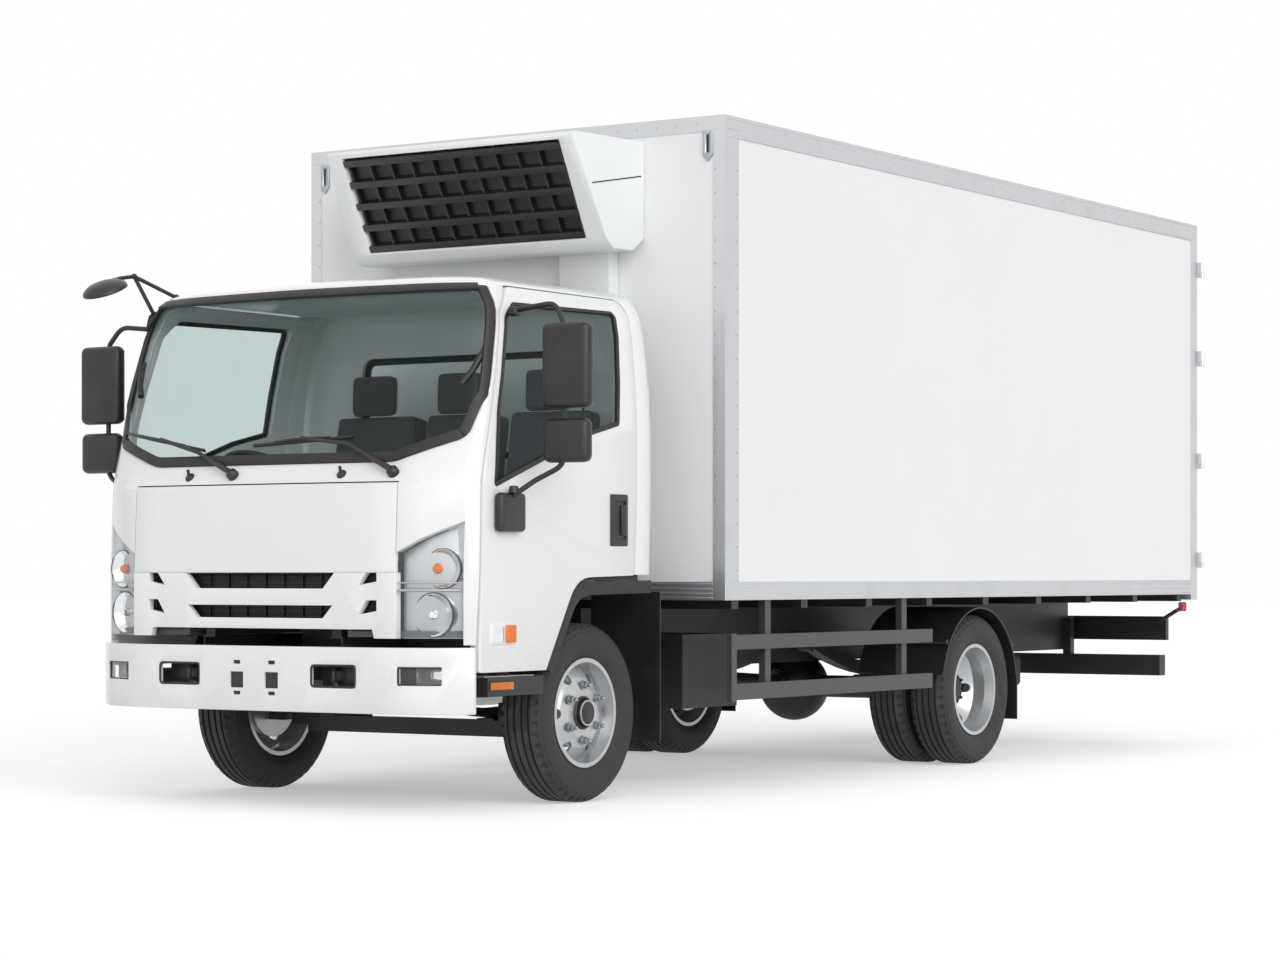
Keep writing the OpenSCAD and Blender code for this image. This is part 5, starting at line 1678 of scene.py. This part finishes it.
@dataclass
class Cooler(Assembly):
    """Cooling unit on the front wall with its grille and duct."""

    def build(self) -> None:
        """Builds and dresses the unit."""
        self.reshape("cooling_unit", Finish.UNIT, "chassis", "white_paint", 0.016, 40)
        self.reshape("cooling_unit_grille", Finish.GRILLE, "chassis", "black_plastic", 0.004, 40)
        self._panel_lines()

    def _panel_lines(self) -> None:
        """Draws the joints between the housing's panels."""
        low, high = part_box("cooling_unit")
        skin = Skin(["cooling_unit"])
        for hand, s in SIDES:
            line = []
            for k in range(12):
                x = low.x + 0.03 + (high.x - low.x - 0.16) * k / 11
                point, _ = skin.side(x, high.z - 0.16 - 0.06 * k / 11, s)
                if point is not None:
                    line.append(point)
            seam = Bench.tube(f"unit_seam_{hand}", line, 0.003, 0.01, 2)
            self.dress(seam, Finish.RUBBER, "chassis", "black_plastic")


@dataclass
class Chassis(Assembly):
    """Frame, axles, tanks, guards, steps, lamps and hoses."""

    def build(self) -> None:
        """Builds and dresses the chassis."""
        self.coat(
            Finish.CHASSIS, "frame_rails", "frame_crossmembers", "propeller_shaft", "front_axle", "leaf_springs", "rear_axle",
            "body_subframe", "knuckle_left", "knuckle_right", "rear_underrun_bar", "rear_lamp_bar",
        )
        self.coat(Finish.IRON, "engine")
        self.coat(Finish.BLACK, "battery_box", "mudguards", "cab_steps", "dashboard", "steering_wheel")
        self.coat(Finish.EDGE, "fuel_tank")
        self.coat(Finish.GUARD, "side_guards")
        self._spare()
        self._reflectors()
        self._rear_lamps()
        self._hoses()
        self._treads()

    def _spare(self) -> None:
        """Dresses the spare wheel."""
        low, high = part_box("spare_wheel")
        tread = Tread("spare tyre rubber", ((low.x + high.x) / 2, 0.0, (low.z + high.z) / 2), TYRE_R)
        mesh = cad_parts["spare_wheel"].data
        mesh.materials.clear()
        mesh.materials.append(tread.build())

    def _reflectors(self) -> None:
        """Makes the amber reflectors on the steps."""
        for hand, s in SIDES:
            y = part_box("cab_steps")[1].y
            back = Bench.slab(f"step_reflector_back_{hand}", at(0.628, s * (y - 0.004), 0.500), at(0.799, s * (y + 0.003), 0.541), 0.004)
            self.dress(back, Finish.BLACK, "chassis", "black_plastic")
            face = Bench.slab(f"step_reflector_{hand}", at(0.634, s * y, 0.505), at(0.793, s * (y + 0.007), 0.536), 0.003)
            self.dress(face, Finish.AMBER, "chassis", "lamp_lens")

    def _rear_lamps(self) -> None:
        """Makes the rear lamp clusters and the small stalk markers."""
        low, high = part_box("rear_lamp_bar")
        x = low.x
        tail = FRAME_BOX[0][0] + 0.0005
        rows = ((0.66, 0.76, Finish.RED), (0.765, 0.86, Finish.AMBER), (0.865, 0.95, Finish.CLEAR))
        z0, z1 = low.z + 0.028, high.z - 0.028
        for hand, s in SIDES:
            for i, (y0, y1, finish) in enumerate(rows):
                lens = Bench.slab(f"rear_lamp_{hand}_{i}", (tail, s * y0, z0), (x + 0.001, s * y1, z1), 0.004, 3)
                self.dress(lens, finish, "chassis", "lamp_lens")
            stalk = Bench.tube(
                f"marker_stalk_{hand}", [(x + 0.05, s * 0.95, high.z - 0.03), (x + 0.05, s * 1.05, high.z + 0.03), (x + 0.05, s * 1.09, high.z + 0.05)],
                0.012, 0.03,
            )
            self.dress(stalk, Finish.RUBBER, "chassis", "black_plastic")
            for name, shift, finish in (("red", 0.0, Finish.RED), ("clear", 0.034, Finish.CLEAR)):
                tip = Bench.slab(
                    f"marker_{name}_{hand}", (x + 0.028 + shift, s * 1.07, high.z + 0.03), (x + 0.060 + shift, s * 1.115, high.z + 0.085), 0.010, 3
                )
                self.dress(tip, finish, "chassis", "lamp_lens")

    def _hoses(self) -> None:
        """Makes the hoses behind the cab."""
        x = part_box("cab_back_panel")[0].x - AXLE
        for i, (y, reach) in enumerate(((0.90, 0.0), (0.86, 0.03), (0.82, 0.06))):
            route = [at(x - 0.05 - reach, y, 0.70), at(x - 0.06 - reach, y, 0.80), at(x - 0.10 - reach, y - 0.01, 0.90),
                     at(x - 0.12 - reach, y - 0.02, 0.82), at(x - 0.11 - reach, y - 0.03, 0.70)]
            hose = Bench.tube(f"cab_hose_{i}", route, 0.011)
            self.dress(hose, Finish.RUBBER, "chassis", "black_plastic")

    def _treads(self) -> None:
        """Makes the ribbed tread plates of the cab steps."""
        low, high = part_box("cab_steps")
        for hand, s in SIDES:
            ribs = [
                Bench.slab("rib", (low.x + 0.02, s * (high.y - 0.16 + k * 0.03), high.z - 0.002), (high.x - 0.02, s * (high.y - 0.15 + k * 0.03), high.z + 0.005), 0.002)
                for k in range(5)
            ]
            self.dress(Bench.join(f"step_tread_{hand}", ribs), Finish.EDGE, "chassis", "aluminium")


def main() -> None:
    """Builds the truck's looks piece by piece."""
    logging.basicConfig(level=logging.INFO, format="%(message)s")
    Studio().build()
    for part in (Cab(), Lamps(), Bumper(), Mirrors(), Seats(), Wheels(), BoxBody(), Cooler(), Chassis()):
        LOG.info("building %s", type(part).__name__)
        part.build()


if __name__ == "__main__":
    main()
